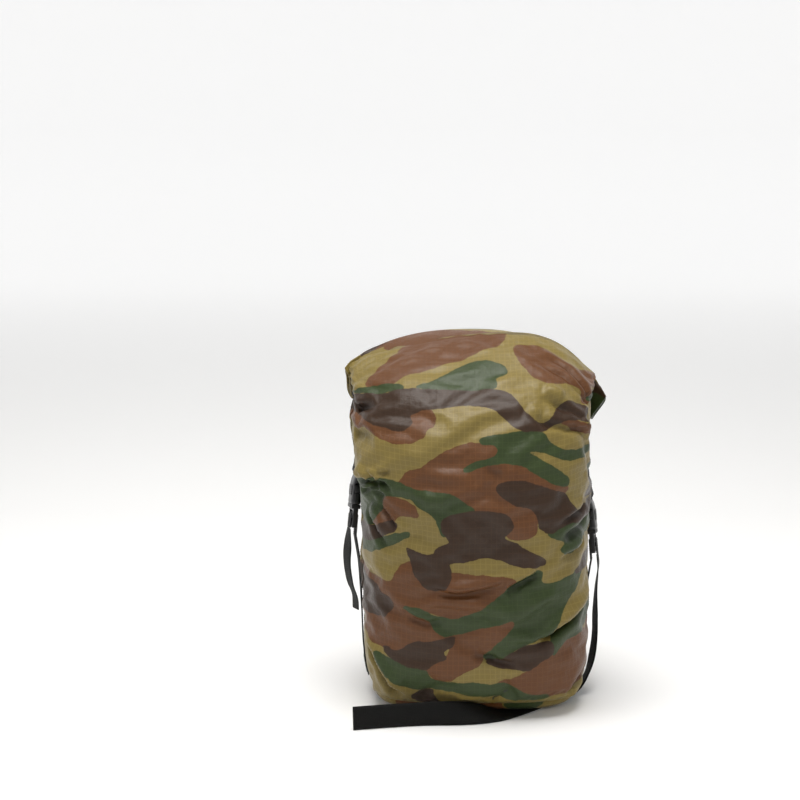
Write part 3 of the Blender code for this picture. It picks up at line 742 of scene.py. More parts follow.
FOLDS = [
    ([(-158, 243), (-140, 246), (-126, 251), (-110, 249), (-92, 254), (-80, 258)], 8.5, 5.5, 0.6, 0.35, 0.7),
    ([(-142, 236), (-122, 241), (-106, 237), (-94, 240)], 3.6, 3.4, 0.8, 0.1, 0.4),
    ([(-118, 262), (-102, 254), (-88, 244)], 3.4, 3.4, 0.8, 0.3, 0.4),
    ([(-104, 262), (-94, 262), (-84, 268)], 2.6, 3.2, 0.6, 0.3, 0.4),
    ([(60, 85), (85, 97), (110, 108), (140, 120), (165, 128)], 7.5, 5.6, 0.8, 0.2, 0.3),
    ([(26, 140), (48, 152), (70, 161)], 3.5, 6.0, 0.6, 0.3, 0.3),
    ([(-8, 76), (8, 70), (24, 74)], 3.0, 6.0, 0.3, 0.4, 0.4),
    ([(8, 70), (22, 66), (42, 61)], 2.2, 5.0, 0.4, 0.1, 0.5),
    ([(88, 190), (104, 196), (128, 201), (150, 204)], 4.5, 8.0, 0.4, 0.3, 0.2),
    ([(66, 420), (94, 404), (122, 376), (142, 350)], 1.8, 5.5, 0.7, 0.3, 0.2),
    ([(52, 402), (88, 386), (118, 362), (144, 340)], 1.4, 5.0, 0.7, 0.3, 0.1),
    ([(4, 276), (14, 269), (27, 262)], 2.0, 7.0, 0.4, 0.4, 0.4),
    ([(58, 352), (78, 344), (100, 332), (124, 316)], 2.5, 6.0, 0.5, 0.4, 0.1),
    ([(40, 328), (66, 320), (96, 310), (130, 303)], 2.2, 6.0, 0.5, 0.4, 0.1),
    ([(-150, 330), (-128, 338), (-104, 342)], 3.5, 8.0, 0.4, 0.1, 0.6),
    ([(-146, 296), (-122, 300), (-96, 297)], 2.5, 9.0, 0.5, 0.1, 0.6),
    ([(-150, 78), (-124, 62), (-108, 43), (-92, 28), (-70, 16)], 3.5, 6.0, 0.9, 0.3, 0.3),
    ([(150, 40), (130, 33), (110, 27), (92, 14)], 3.0, 6.0, 0.6, 0.3, 0.3),
    ([(-136, 216), (-114, 202), (-98, 184)], 3.5, 4.0, 0.7, 0.3, 0.4),
    ([(-112, 228), (-98, 218), (-84, 204)], 2.6, 3.5, 0.6, 0.3, 0.3),
    ([(-130, 252), (-112, 246), (-98, 236)], 3.0, 3.5, 0.6, 0.2, 0.4),
    ([(88, 212), (106, 217), (130, 222)], 3.0, 4.0, 0.7, 0.3, 0.2),
    ([(84, 176), (108, 178), (134, 184)], 2.6, 5.0, 0.6, 0.3, 0.2),
    ([(-44, 139), (-10, 141), (24, 149)], 2.2, 5.0, 0.4, 0.3, 0.2),
    ([(-78, 112), (-52, 106), (-30, 109)], 2.0, 5.0, 0.5, 0.3, 0.3),
]
# Raised lines: a line in (u, v), then the height and width in mm
RIDGES = [
    ([(-45, 131), (0, 128), (30, 122), (60, 128), (100, 140)], 2.2, 7.0),
    ([(80, 178), (130, 185)], 2.5, 8.0),
    ([(66, 363), (92, 353)], 2.5, 7.0),
    ([(50, 335), (65, 328)], 1.8, 6.0),
    ([(83, 339), (122, 316), (150, 295)], 3.0, 7.0),
    ([(-45, 262), (0, 262)], 1.6, 9.0),
    ([(-60, 240), (-25, 236)], 1.6, 8.0),
    ([(-60, 152), (-20, 149), (18, 155), (44, 166)], 2.4, 6.0),
    ([(30, 95), (58, 91), (84, 100)], 2.6, 5.0),
    ([(-66, 130), (-24, 133), (10, 131)], 1.6, 5.0),
    ([(-128, 228), (-106, 212), (-92, 196)], 2.4, 4.0),
]


def along_line(line, u, v):
    """Distance from a line (positive on its left), the share of its length passed, and the plain distance."""
    line = np.array(line, float)
    lengths = np.linalg.norm(np.diff(line, axis=0), axis=1)
    total, passed = lengths.sum(), 0.0
    best = np.full(u.shape, 1e9)
    signed, share = np.zeros(u.shape), np.zeros(u.shape)
    p = np.stack([u, v], -1)
    for (a, b), length in zip(zip(line[:-1], line[1:]), lengths):
        d = (b - a) / length
        r = p - a
        t = np.clip(r @ d, 0, length)
        gap = np.linalg.norm(r - t[..., None] * d, axis=-1)
        side = np.sign(d[0] * r[..., 1] - d[1] * r[..., 0])
        nearer = gap < best
        best = np.where(nearer, gap, best)
        signed = np.where(nearer, side * gap, signed)
        share = np.where(nearer, (passed + t) / total, share)
        passed += length
    return signed, share, best


def taper(share, start, end):
    return eased(np.clip(share / start, 0, 1)) * eased(np.clip((1 - share) / end, 0, 1))


def soft_noise(seed, u, v, size):
    """Smooth noise of about unit height, without a jump where u wraps round."""
    waves = 36
    draw = np.random.default_rng(seed)
    total = np.zeros(u.shape)
    turn = 2 * math.pi / GIRTH
    for _ in range(waves):
        angle = draw.uniform(0, math.pi)
        k = 2 * math.pi / (size * draw.uniform(0.7, 1.5))
        ku = round(k * math.cos(angle) / turn) * turn
        total += np.cos(ku * u + k * math.sin(angle) * v + draw.uniform(0, 2 * math.pi))
    return total / math.sqrt(waves / 2)


def creases(u, v, sharper=1.0):
    """How far the placed folds stand out, in mm."""
    near = np.where(u > GIRTH / 2, u - GIRTH, u)
    out = np.zeros(u.shape)
    for line, depth, width, lip, start, end in FOLDS:
        width = width / sharper
        signed, share, gap = along_line(line, near, v)
        s = signed / width
        upper_lip = np.exp(-(((s - 1.7) / 1.1) ** 2))
        lower_lip = 0.25 * np.exp(-(((s + 1.8) / 1.2) ** 2))
        profile = -np.exp(-(s**2)) + lip * (upper_lip + lower_lip)
        out += depth * profile * taper(share, start, end) * (gap < 6 * width)
    for line, height, width in RIDGES:
        signed, share, gap = along_line(line, near, v)
        out += height * np.exp(-((gap / width) ** 2)) * taper(share, 0.3, 0.3)
    return out


def folds(u, v):
    """How far the cloth stands out of the smooth sack before it settles, in mm."""
    out = creases(u, v)
    back = np.clip((u - GIRTH / 4 - 10) / 40, 0, 1) * np.clip((3 * GIRTH / 4 - 10 - u) / 40, 0, 1)
    out += (2.6 * soft_noise(3, u, v, 95) + 1.0 * soft_noise(4, u, v * 1.6, 46)) * back
    out += 0.9 * soft_noise(5, u, v, 70) + 0.45 * soft_noise(6, u * 0.8, v * 1.5, 30)
    return out


def normals_of(points):
    """Outward normals of the sack's grid, which wraps round in its second direction."""
    across = np.roll(points, -1, axis=1) - np.roll(points, 1, axis=1)
    up = np.gradient(points, axis=0)
    return unit(np.cross(across, up))


# Routes, as clearances for the cloth and as webbing


def roll_frames(x):
    """Centre, outward and upward directions of the roll's section at each x, in metres."""
    x = np.asarray(x, float)

    def centre(x):
        share = np.abs(x) / (134 * MM)
        droop = np.where(x > 0, 55 * MM, 29 * MM)
        return np.stack([x, 86 * MM - 38 * MM * share**3, 366 * MM - droop * share**2.4], -1)

    lean = np.array((0, -math.sin(math.radians(10)), math.cos(math.radians(10))))
    along = unit(centre(x + 0.5 * MM) - centre(x - 0.5 * MM))
    up = unit(lean - (along @ lean)[:, None] * along)
    return centre(x), np.cross(up, along), up


def upper_route(side):
    bar = STRAP_SLOT_TOP + 1.2 * MM
    sewn = [(-0.9 * MM, 63 * MM), (-0.9 * MM, 54 * MM), (-2.0 * MM, 46 * MM)]
    rise = [(2.0 * MM, 46 * MM), (0.9 * MM, 54 * MM), (0.9 * MM, 63 * MM)]
    route = in_buckle(side, sewn + arc(bar, LOOP_RADIUS, 180, 360) + rise)
    centre, _, up = roll_frames([side * 121 * MM])
    top = centre[0] - up[0] * (22 * MM + 1.35 * MM + 1.2 * MM)
    return route, top


def roll_seat(side, up_mm):
    """A point on the rear face of the roll's end, that far above its middle."""
    centre, out, up = roll_frames([side * 119 * MM])
    return centre[0] + out[0] * 7.2 * MM + up[0] * up_mm * MM


def lower_route(side, foot):
    bar = LADDER_BAR - 1.2 * MM
    radius = LOOP_RADIUS - 0.2 * MM
    rise = [(-radius, -34 * MM), (-radius, -24 * MM)]
    ladder = rise + arc(bar, radius, 180, 0) + [(radius, -PLUG_LENGTH - GAP)]
    return foot + in_buckle(side, ladder)


def tail_route(side, points):
    start = in_buckle(side, [(LOOP_RADIUS - 0.2 * MM, -PLUG_LENGTH - 4 * GAP)])[0]
    across = buckle_axes(side)[1] * -side
    centres = [start] + [np.array(p) * MM for p, _ in points]
    wide = [across] + [np.array(w, float) for _, w in points]
    t = np.linspace(0, len(centres) - 1, (len(centres) - 1) * 10 + 1)
    return catmull_rom(centres, t), unit(catmull_rom(wide, t))


# Height and outward reach, in mm, of the inner line of the webbing and buckle, also with the buckle open
STRAP_FOOT = [(6, 109.5), (20, 112.3), (34, 116.0), (60, 118.6), (100, 119.6)]
STRAP_REACH = {
    -1: [(146, 121.2), (170, 121.2), (196, 121.4), (222, 120.0), (236, 119.8)]
    + [(262, 120.8), (290, 120.6), (300, 120.4), (330, 117.5)],
    1: [(120, 121.0), (150, 121.2), (169, 121.4), (195, 120.0), (209, 119.8)]
    + [(235, 120.8), (263, 120.6), (270, 120.4), (305, 117.5)],
}


def strap_line(side):
    """The inner line of the webbing and buckle up one side: height, outward reach and depth, in mm."""
    z, reach = np.array(STRAP_FOOT + STRAP_REACH[side]).T
    top = upper_route(side)[1] / MM
    low = strap_y(z * MM) / MM
    start = BUCKLE_HEIGHT[side] / MM + 63
    rise = np.clip((z - start) / (top[2] - start), 0, 1)
    depth = np.where(z > start, strap_y(start * MM) / MM * (1 - rise) + top[1] * rise, low)
    return z, reach, depth


def clear_straps(points):
    """Holds the cloth under the webbing and buckles; points are in mm."""
    made = points.copy()
    for side in (-1, 1):
        z, reach, depth = strap_line(side)
        limit = np.interp(points[..., 2], z, reach)
        y = np.interp(points[..., 2], z, depth)
        away = np.abs(points[..., 1] - y)
        weight = eased(np.clip(1 - (away - 14) / 14, 0, 1))
        weight = weight * np.clip((z[-1] + 14 - points[..., 2]) / 14, 0, 1)
        excess = np.maximum(0, points[..., 0] * side - limit + 1.0)
        made[..., 0] -= side * excess * weight
    return made


# Cloth

STITCH_PITCH = 2.7 * MM
STITCH_START, STITCH_END = 0.12, 0.88


def settle(points, pinned, pressure, shrink, frames, cap):
    """The wall's grid of points, in mm, after it has settled as cloth, held where pinned is high."""
    rows, columns = points.shape[:2]
    mesh = bpy.data.meshes.new("settling")
    mesh.from_pydata([tuple(p * MM) for p in points.reshape(-1, 3)], [], strip_faces(rows, columns))
    obj = bpy.data.objects.new("settling", mesh)
    bpy.context.collection.objects.link(obj)
    group = obj.vertex_groups.new(name="pin")
    for i, w in enumerate(pinned.ravel()):
        if w > 0.005:
            group.add([i], float(min(w, 1)), "REPLACE")
    cloth = obj.modifiers.new("cloth", "CLOTH")
    s = cloth.settings
    s.quality = 5
    s.mass = 0.15
    s.tension_stiffness = s.compression_stiffness = 12
    s.shear_stiffness = 4
    s.bending_stiffness = 0.25
    s.tension_damping = s.compression_damping = 8
    s.air_damping = 3
    s.use_pressure = True
    s.uniform_pressure_force = pressure
    s.shrink_min = shrink
    s.vertex_group_mass = "pin"
    s.pin_stiffness = 1.0
    s.effector_weights.gravity = 0
    cloth.collision_settings.use_self_collision = False
    cloth.collision_settings.use_collision = False
    cloth.point_cache.frame_end = frames + 1
    for number in range(1, frames + 1):
        bpy.context.scene.frame_set(number)
    evaluated = obj.evaluated_get(bpy.context.evaluated_depsgraph_get())
    found = np.zeros(rows * columns * 3, np.float32)
    evaluated.data.vertices.foreach_get("co", found)
    bpy.data.objects.remove(obj)
    bpy.context.scene.frame_set(1)
    moved = found.reshape(points.shape).astype(float) / MM - points
    length = np.linalg.norm(moved, axis=-1, keepdims=True)
    return points + moved * np.minimum(1, cap / np.maximum(length, 1e-6))


def refine(grid, wrap=True):
    """Twice as many rows and columns, on the smooth surface through the grid's points."""

    def halfway(a, axis, closed):
        before, after = np.roll(a, 1, axis), np.roll(a, -1, axis)
        beyond = np.roll(a, -2, axis)
        mid = (-before + 9 * a + 9 * after - beyond) / 16
        if not closed:
            n = a.shape[axis]
            first = np.take(a, [0, 1], axis).mean(axis, keepdims=True)
            last = np.take(a, [n - 2, n - 1], axis).mean(axis, keepdims=True)
            mid = np.concatenate([first, np.take(mid, range(1, n - 2), axis), last], axis)
        return mid

    rows = halfway(grid, 0, False)
    merged = np.zeros((grid.shape[0] + rows.shape[0],) + grid.shape[1:])
    merged[0::2], merged[1::2] = grid, rows
    columns = halfway(merged, 1, wrap)
    wide = np.zeros((merged.shape[0], merged.shape[1] + columns.shape[1]) + grid.shape[2:])
    wide[:, 0::2], wide[:, 1::2] = merged, columns
    return wide


def refine_open(values):
    """Values at the refined grid's points, for values that don't wrap round."""
    fine = refine(values[..., None], wrap=False)[..., 0]
    return np.concatenate([fine, fine[:, -1:]], 1)


def off_ends(v):
    """1 over the wall, falling to 0 at its lower edge and at the ridge."""
    return np.minimum(np.clip((v - 2) / 16, 0, 1), np.clip((456 - v) / 22, 0, 1))


def weave_lengths(plain):
    """Lengths in mm along the cloth: across it from the middle of the front or back, and up it."""
    ring = refine(np.concatenate([plain, plain[:, :1]], 1), wrap=False)
    along = arc_lengths(ring, 1)
    half = ring.shape[1] // 2
    quarter = half // 2
    front = along[:, : half + 1] - along[:, quarter : quarter + 1]
    back = along[:, half:] - along[:, half + quarter : half + quarter + 1]
    return front, back, arc_lengths(ring, 0)


def make_sack(material):
    """The sack's wall: folded, settled as cloth and creased, with its print and weave."""
    levels, angles = np.meshgrid(LEVELS, ANGLES, indexing="ij")
    v, u = np.meshgrid(HEIGHT_V, GIRTH_U, indexing="ij")
    plain = surface(levels, angles)
    points = plain + normals_of(plain) * (folds(u, v) * off_ends(v))[..., None]
    held = np.clip(1 - v / 10, 0, 1) + np.clip((v - 446) / 10, 0, 1)
    held = np.clip(held + 0.1, 0, 1)
    settled = settle(points, held, pressure=1.2, shrink=-0.026, frames=16, cap=4.0)
    calm = 1 - 0.6 * np.clip((v - 330) / 50, 0, 1)
    points = points + (settled - points) * calm[..., None]
    fine = refine(points)
    uu, vv = refine_open(u), refine_open(v)
    uu[:, -1] += (GIRTH_U[0] + GIRTH - GIRTH_U[-1]) / 2
    sharp = creases(uu, vv, 1.5)
    fine = fine + normals_of(fine) * (0.8 * sharp * off_ends(vv))[..., None]
    fine = clear_straps(fine)
    fine[..., 2] = np.maximum(fine[..., 2], 1.2)
    rows, columns = uu.shape
    half = columns // 2
    front, back, up = weave_lengths(plain)
    uv = []
    for i in range(rows - 1):
        for j in range(columns):
            for a, b in ((i, j), (i, j + 1), (i + 1, j + 1), (i + 1, j)):
                across = front[a, b] if j < half else back[a, b - half]
                uv.append((across * MM, up[a, b] * MM))
    uv += [(0, 0)] * (2 * columns)
    fine_angles = np.interp(uu, GIRTH_FINE, ANGLES_FINE)
    print_u, print_v = print_place(refine_open(levels), fine_angles, uu, vv)
    fields = print_round(print_u, print_v) + PRINT_SPREAD
    # Painted shade for the creases: 1 in the deepest folds, read by the ripstop colour to darken it.
    painted_crease_shade = np.clip(-sharp / 3.5, 0, 1)[..., None] * np.array([1.0, 0, 0])
    shades = {"camo": fields, "painted_crease_shade": painted_crease_shade.reshape(-1, 3)}
    faces = tube_faces(rows, columns)
    obj = add_piece("sack_body", fine.reshape(-1, 3) * MM, faces, material, uv=uv, attributes=shades)
    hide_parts("side_panel")
    return obj


def make_seams(body, material, thread):
    """The felled seam down each side, on the wall's own surface, with its two rows of stitches."""
    rows, columns = 2 * ROWS - 1, 2 * COLUMNS
    grid = np.zeros(rows * columns * 3, np.float32)
    body.data.vertices.foreach_get("co", grid)
    grid = grid.reshape(rows, columns, 3).astype(float)
    fields = np.zeros(rows * columns * 3, np.float32)
    body.data.attributes["camo"].data.foreach_get("vector", fields)
    fields = fields.reshape(rows, columns, 3)
    normal = normals_of(grid)
    lift = np.array([0.0, 0.55, 0.75, 0.75, 0.55, 0.0]) * MM
    for word, middle in (("left", 0), ("right", COLUMNS)):
        spots = [(middle + k) % columns for k in (-1, 0, 1, 2)]
        spots = [spots[0], *spots, spots[-1]]
        used = range(3, rows - 20)
        top = [[grid[i, j] + normal[i, j] * lift[k] for k, j in enumerate(spots)] for i in used]
        for i, row in zip(used, top):
            row[0] = row[0] - normal[i, spots[0]] * 0.8 * MM
            row[-1] = row[-1] - normal[i, spots[-1]] * 0.8 * MM
        n = len(spots)
        points = np.array(top).reshape(-1, 3)
        faces = tube_faces(len(top), n)
        uv = np.stack([np.tile(np.arange(n) * 2.4, len(top)), np.repeat(np.arange(len(top)) * 2.5, n)], 1)
        shades = {"camo": fields[list(used)][:, spots].reshape(-1, 3)}
        obj = add_piece(f"{word}_side_seam", points, faces, material, uv=uv * MM, attributes=shades)
        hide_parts(f"{word}_seam_tape")
        stitches = []
        for j in (1, 4):
            for i in range(1, len(top) - 1):
                a, b = points[i * n + j], points[(i + 1) * n + j]
                ends = a + (b - a) * STITCH_START, a + (b - a) * STITCH_END
                stitches.append((*ends, normal[used[i], spots[j]]))
        sewn = thread_piece(f"{word}_seam_stitches", stitches, 0.22 * MM, thread)


def thread_piece(name, stitches, radius, material, body="sack"):
    """Short raised stitches, each from one point to another, on a surface with that normal."""
    points, faces = [], []
    for a, b, normal in stitches:
        along = unit(b - a)
        side = np.cross(normal, along)
        base = len(points)
        for t, size in ((0.0, 0.35), (0.18, 1.0), (0.82, 1.0), (1.0, 0.35)):
            middle = a + (b - a) * t + normal * radius * 0.5
            for k in range(6):
                angle = k * math.pi / 3
                points.append(middle + (side * math.cos(angle) + normal * math.sin(angle)) * radius * size)
        faces += [f[::-1] for f in tube_faces(4, 6, base)]
    return add_piece(name, points, faces, material, body)


def make_base(material):
    """The flat base panel, rounded up to the wall's lowest edge."""
    steps = [(0, 13.5), (1, 10), (4.5, 6), (10, 3), (18, 1.6), (30, 1.3), (50, 1.2), (75, 1.2), (95, 1.2)]
    columns = 120
    angles = np.linspace(-math.pi, math.pi, columns + 1)[:-1]
    ring = surface(np.zeros(columns), angles)
    middle = np.array([2.0, -0.5])
    rows = []
    for inset, height in steps:
        radius = np.linalg.norm(ring[:, :2] - middle, axis=1)
        share = np.maximum(0.02, 1 - inset / radius)
        flat = middle + (ring[:, :2] - middle) * share[:, None]
        sag = 0.35 * soft_noise(8, flat[:, 0] * 3, flat[:, 1] * 3, 90)
        rows.append(np.concatenate([flat, (height + np.maximum(0, sag) * (height < 3))[:, None]], 1))
    points = np.concatenate(rows) * MM
    faces = [f[::-1] for f in strip_faces(len(rows), columns)]
    faces.append(tuple(range((len(rows) - 1) * columns, len(rows) * columns))[::-1])
    shades = {"camo": printed(points[:, 0] / MM, points[:, 1] / MM + 210)}
    obj = add_piece("base_cloth", points, faces, material, uv=points[:, :2], attributes=shades)
    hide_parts("base_panel")


def make_load(material):
    """What fills the sack, just inside its wall."""
    rows, columns = 40, 72
    levels = np.linspace(0.6, len(STATIONS) - 2.2, rows)
    angles = np.linspace(-math.pi, math.pi, columns + 1)[:-1]
    points = clear_straps(surface(*np.meshgrid(levels, angles, indexing="ij")))
    points[..., :2] *= 0.9
    points[..., 2] = 12 + (points[..., 2] - 12) * 0.955
    faces = tube_faces(rows, columns)
    obj = add_piece("packed_filling", points.reshape(-1, 3) * MM, faces, material)
    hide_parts("packed_load")


# Mouth

ROLL_TURNS = 1.75
ROLL_HALF_LENGTH = 136
NECK_THICKNESS = 1.6


def roll_section(count):
    """The flattened spiral of the rolled mouth, as one closed outline of (out, up) in mm."""
    outer, inner = [], []
    for k in range(count + 1):
        turn = ROLL_TURNS * k / count
        angle = 2 * math.pi * turn + math.pi / 2
        shrink = 3.7 * turn
        for ring, shift in ((outer, 1.45), (inner, -1.25)):
            half_depth, half_height = 9 - shrink + shift, 22 - shrink + shift
            ring.append((half_depth * math.cos(angle), half_height * math.sin(angle)))
    return np.array(outer + inner[::-1])


def make_roll(material):
    """The rolled mouth behind the ridge, its ends pressed flat as the sack's two ears."""
    section = roll_section(44)
    span = np.sin(math.pi / 2 * np.linspace(-1, 1, 121)) * ROLL_HALF_LENGTH
    centre, out, up = roll_frames(span * MM)
    rows, fields, coordinates = [], [], []
    v = lengths_along(section) + 30
    for k, x in enumerate(span):
        share = abs(x) / ROLL_HALF_LENGTH
        u = np.full(len(section), x)
        puff = 1 + 0.05 * math.sin(x / 17 + 1) + 0.04 * math.sin(x / 7.3)
        tall = 1 + 0.06 * math.sin(x / 23) - 0.14 * max(0, share - 0.95) / 0.05
        crease = 0.55 * soft_noise(11, u * 1.5, v, 26)
        pressed = np.clip((share - 0.72) / 0.2, 0, 1)
        a = section[:, 0] * puff + crease * np.sign(section[:, 0])
        a = a * (1 - 0.62 * eased(pressed)) + 1.8 * pressed * math.sin(x / 4.1) * np.sin(section[:, 1] / 7)
        b = section[:, 1] * tall
        rows.append(centre[k] + out[k] * (a * MM)[:, None] + up[k] * (b * MM)[:, None])
        shade = printed(u * 0.95, 300 + v * 0.9)
        if x > 104:
            shade[:, 1] = np.maximum(shade[:, 1], 12 - 0.25 * np.abs(x - 132))
        if x < -108:
            shade = np.minimum(shade, x + 118)
        fields.append(shade)
        coordinates.append(np.stack([u, v], 1) * MM)
    faces = tube_faces(len(rows), len(section))
    uv, shades = np.concatenate(coordinates), {"camo": np.concatenate(fields)}
    obj = add_piece("mouth_roll", np.concatenate(rows), faces, material, uv=uv, attributes=shades)
    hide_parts("rolled_mouth", "mouth_stiffener")


def make_neck(material):
    """The gathered neck from the ridge back and down to the roll."""
    columns, count = 81, 17
    rows = []
    for t in np.linspace(0, 1, count):
        row = []
        for s in np.linspace(-1, 1, columns):
            at_ridge = s * 0.985
            share = abs(s)
            reach = RIGHT_REACH[-1] if s > 0 else LEFT_REACH[-1]
            first = np.array([reach * at_ridge, 47.0, 390.0 - float(ridge_drop(at_ridge))])
            centre, out, up = roll_frames([127 * s * MM])
            top = (centre[0] + up[0] * (24.5 - 3 * share**6) * MM + out[0] * 1.5 * MM) / MM
            x, y, z = first + (top - first) * t
            z += 1.5 * math.sin(math.pi * t) * (1 - share**3) - 1.2 * (1 - t)
            gather = math.sin(math.pi * min(1, t * 1.2)) ** 0.7
            z += 0.7 * math.sin(x / 5.2 + 2 * math.sin(x / 19)) * gather
            row.append((x, y, z))
        rows.append(row)
    upper = np.array(rows).reshape(-1, 3)
    points = np.concatenate([upper, upper - np.array([0, 0, NECK_THICKNESS])])
    u = points[:, 0]
    v = np.tile(np.repeat(430 - np.linspace(0, 60, count), columns), 2)
    shades = {"camo": printed(u, np.clip(v + 26, 0, 455)) + PRINT_SPREAD}
    faces = sheet_faces(count, columns)
    uv = np.stack([u, -v], 1) * MM
    obj = add_piece("neck_cloth", points * MM, faces, material, uv=uv, attributes=shades)
    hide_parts("folded_neck")


# Webbing pieces


def make_tails(material):
    """The webbing's two free ends."""
    for word, points in (("left", LEFT_TAIL), ("right", RIGHT_TAIL)):
        side = SIDES[word]
        centres, wide = tail_route(side, points)
        obj = webbing(f"{word}_tail_webbing", centres, wide, material)
        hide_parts(f"{word}_strap_tail")


def stitches_along(corners, place):
    """Stitches along straight runs between the corners of a plan, each laid by the given function."""
    made = []
    for a, b in zip(corners[:-1], corners[1:]):
        a, b = np.array(a, float), np.array(b, float)
        count = max(2, round(np.linalg.norm(b - a) / STITCH_PITCH))
        for k in range(count):
            start, normal = place(a + (b - a) * (k + STITCH_START) / count)
            end, _ = place(a + (b - a) * (k + STITCH_END) / count)
            made.append((start, end, normal))
    return made


def box(width, height):
    x, y = width / 2, height / 2
    return [(-x, -y), (x, -y), (x, y), (-x, y), (-x, -y)]


def crossed_box(width, height):
    _, second, third, fourth, _ = box(width, height)
    return [*box(width, height), third, second, fourth]


def on_webbing(line, wide, begin, outward):
    """A placing function: across the webbing and along it from that length on, on the face turned outward."""
    line, wide = np.array(line), np.array(wide)
    passed = lengths_along(line)

    def found(at, values):
        return np.array([np.interp(at, passed, values[:, k]) for k in range(3)])

    def place(spot):
        at = begin + spot[1]
        middle = found(at, line)
        across = unit(found(at, wide))
        normal = unit(np.cross(across, found(at + MM, line) - middle))
        normal *= math.copysign(1, normal @ np.array(outward, float))
        return middle + across * spot[0] + normal * (WEB / 2 + RIB_HEIGHT), normal

    return place


ANCHOR_PANEL = (36 * MM, 40 * MM)


def make_anchor_patches(body, material, thread):
    """The square of doubled fabric sewn to the wall behind each strap's foot, its edges turned under."""
    tree = BVHTree.FromPolygons([v.co for v in body.data.vertices], [p.vertices for p in body.data.polygons])
    width, height = ANCHOR_PANEL
    for word, side in SIDES.items():

        def wall(spot, side=side):
            z = ANCHOR_HEIGHT + 17 * MM + spot[1]
            start = Vector((side * 0.3, strap_y(z) + spot[0], z))
            place, normal, _, _ = tree.ray_cast(start, Vector((-side, 0, 0)))
            return np.array(place), np.array(normal)

        count = 21
        steps = np.linspace(-1, 1, count)
        points, under, spots = [], [], []
        for t in steps:
            for r in steps:
                spots.append((r * width / 2, t * height / 2))
                place, normal = wall(spots[-1])
                rim = max(abs(r), abs(t))
                hem = 0.35 * np.exp(-(((rim - 0.86) / 0.1) ** 2)) - 1.1 * (rim > 0.999)
                points.append(place + normal * (0.75 + hem) * MM)
                under.append(points[-1] - normal * 0.9 * MM)
        faces = [face[::side] for face in sheet_faces(count, count)]
        points = np.array(points + under)
        cut_u, cut_v = np.array(spots + spots).T / MM
        shades = {"camo": printed(cut_u + 6, cut_v + 122) + PRINT_SPREAD}
        name = f"{word}_anchor_panel"
        obj = add_piece(name, points, faces, material, uv=points[:, 1:], attributes=shades)
        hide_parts(f"{word}_anchor_patch")

        def sewn(spot, wall=wall):
            place, normal = wall(spot)
            return place + normal * MM, normal

        edge = stitches_along(box(width - 7 * MM, height - 7 * MM), sewn)
        thread_piece(f"{word}_anchor_stitches", edge, 0.24 * MM, thread)


def make_straps(material, thread):
    """The upper and lower webbing of each side, with the box stitches that hold it to the sack."""
    for word, side in SIDES.items():
        across = buckle_axes(side)[1]
        route, top = upper_route(side)
        knots = [route[-3], route[-1], route[-1] + (roll_seat(side, -24) - route[-1]) * 0.45]
        knots += [roll_seat(side, -27), roll_seat(side, -12), roll_seat(side, 6)]
        turned = np.array((1.0, 0.0, -0.45 * side))
        wide = [across, across, across * 0.85 + turned * 0.3, turned * 0.9 + across * 0.25, turned, turned]
        t = np.linspace(1, len(knots) - 1, 60)
        climb, climb_wide = catmull_rom(knots, t), unit(catmull_rom(wide, t))
        line = route[:-1] + list(climb)
        wide = [across] * (len(route) - 1) + list(climb_wide)
        obj = webbing(f"{word}_upper_webbing", line, wide, material, body=None)
        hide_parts(f"{word}_upper_strap")
        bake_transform(obj)
        place = on_webbing(line, wide, lengths_along(line)[-1] - 16 * MM, (0, 1, 0))
        sewn = stitches_along(crossed_box(19 * MM, 18 * MM), place)
        thread_piece(f"{word}_upper_stitches", sewn, 0.26 * MM, thread)
        z, reach, _ = strap_line(side)
        heights = np.linspace(ANCHOR_HEIGHT, BUCKLE_HEIGHT[side] - 62 * MM, 14)
        turn = np.linspace(0, 1, len(heights)) ** 2
        x = side * (np.interp(heights / MM, z, reach) + 1.9 + 1.6 * turn) * MM
        foot = list(np.stack([x, strap_y(heights), heights], 1))
        route = lower_route(side, foot)
        flat = unit(np.cross((side, 0, 0), buckle_axes(side)[3]))
        wide = [flat + (across - flat) * t for t in turn]
        wide += [across] * (len(route) - len(wide))
        obj = webbing(f"{word}_lower_webbing", route, wide, material)
        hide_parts(f"{word}_lower_strap")
        place = on_webbing(route, wide, 13 * MM, (side, 0, 0))
        sewn = stitches_along(crossed_box(19 * MM, 19 * MM), place)
        thread_piece(f"{word}_lower_stitches", sewn, 0.26 * MM, thread)


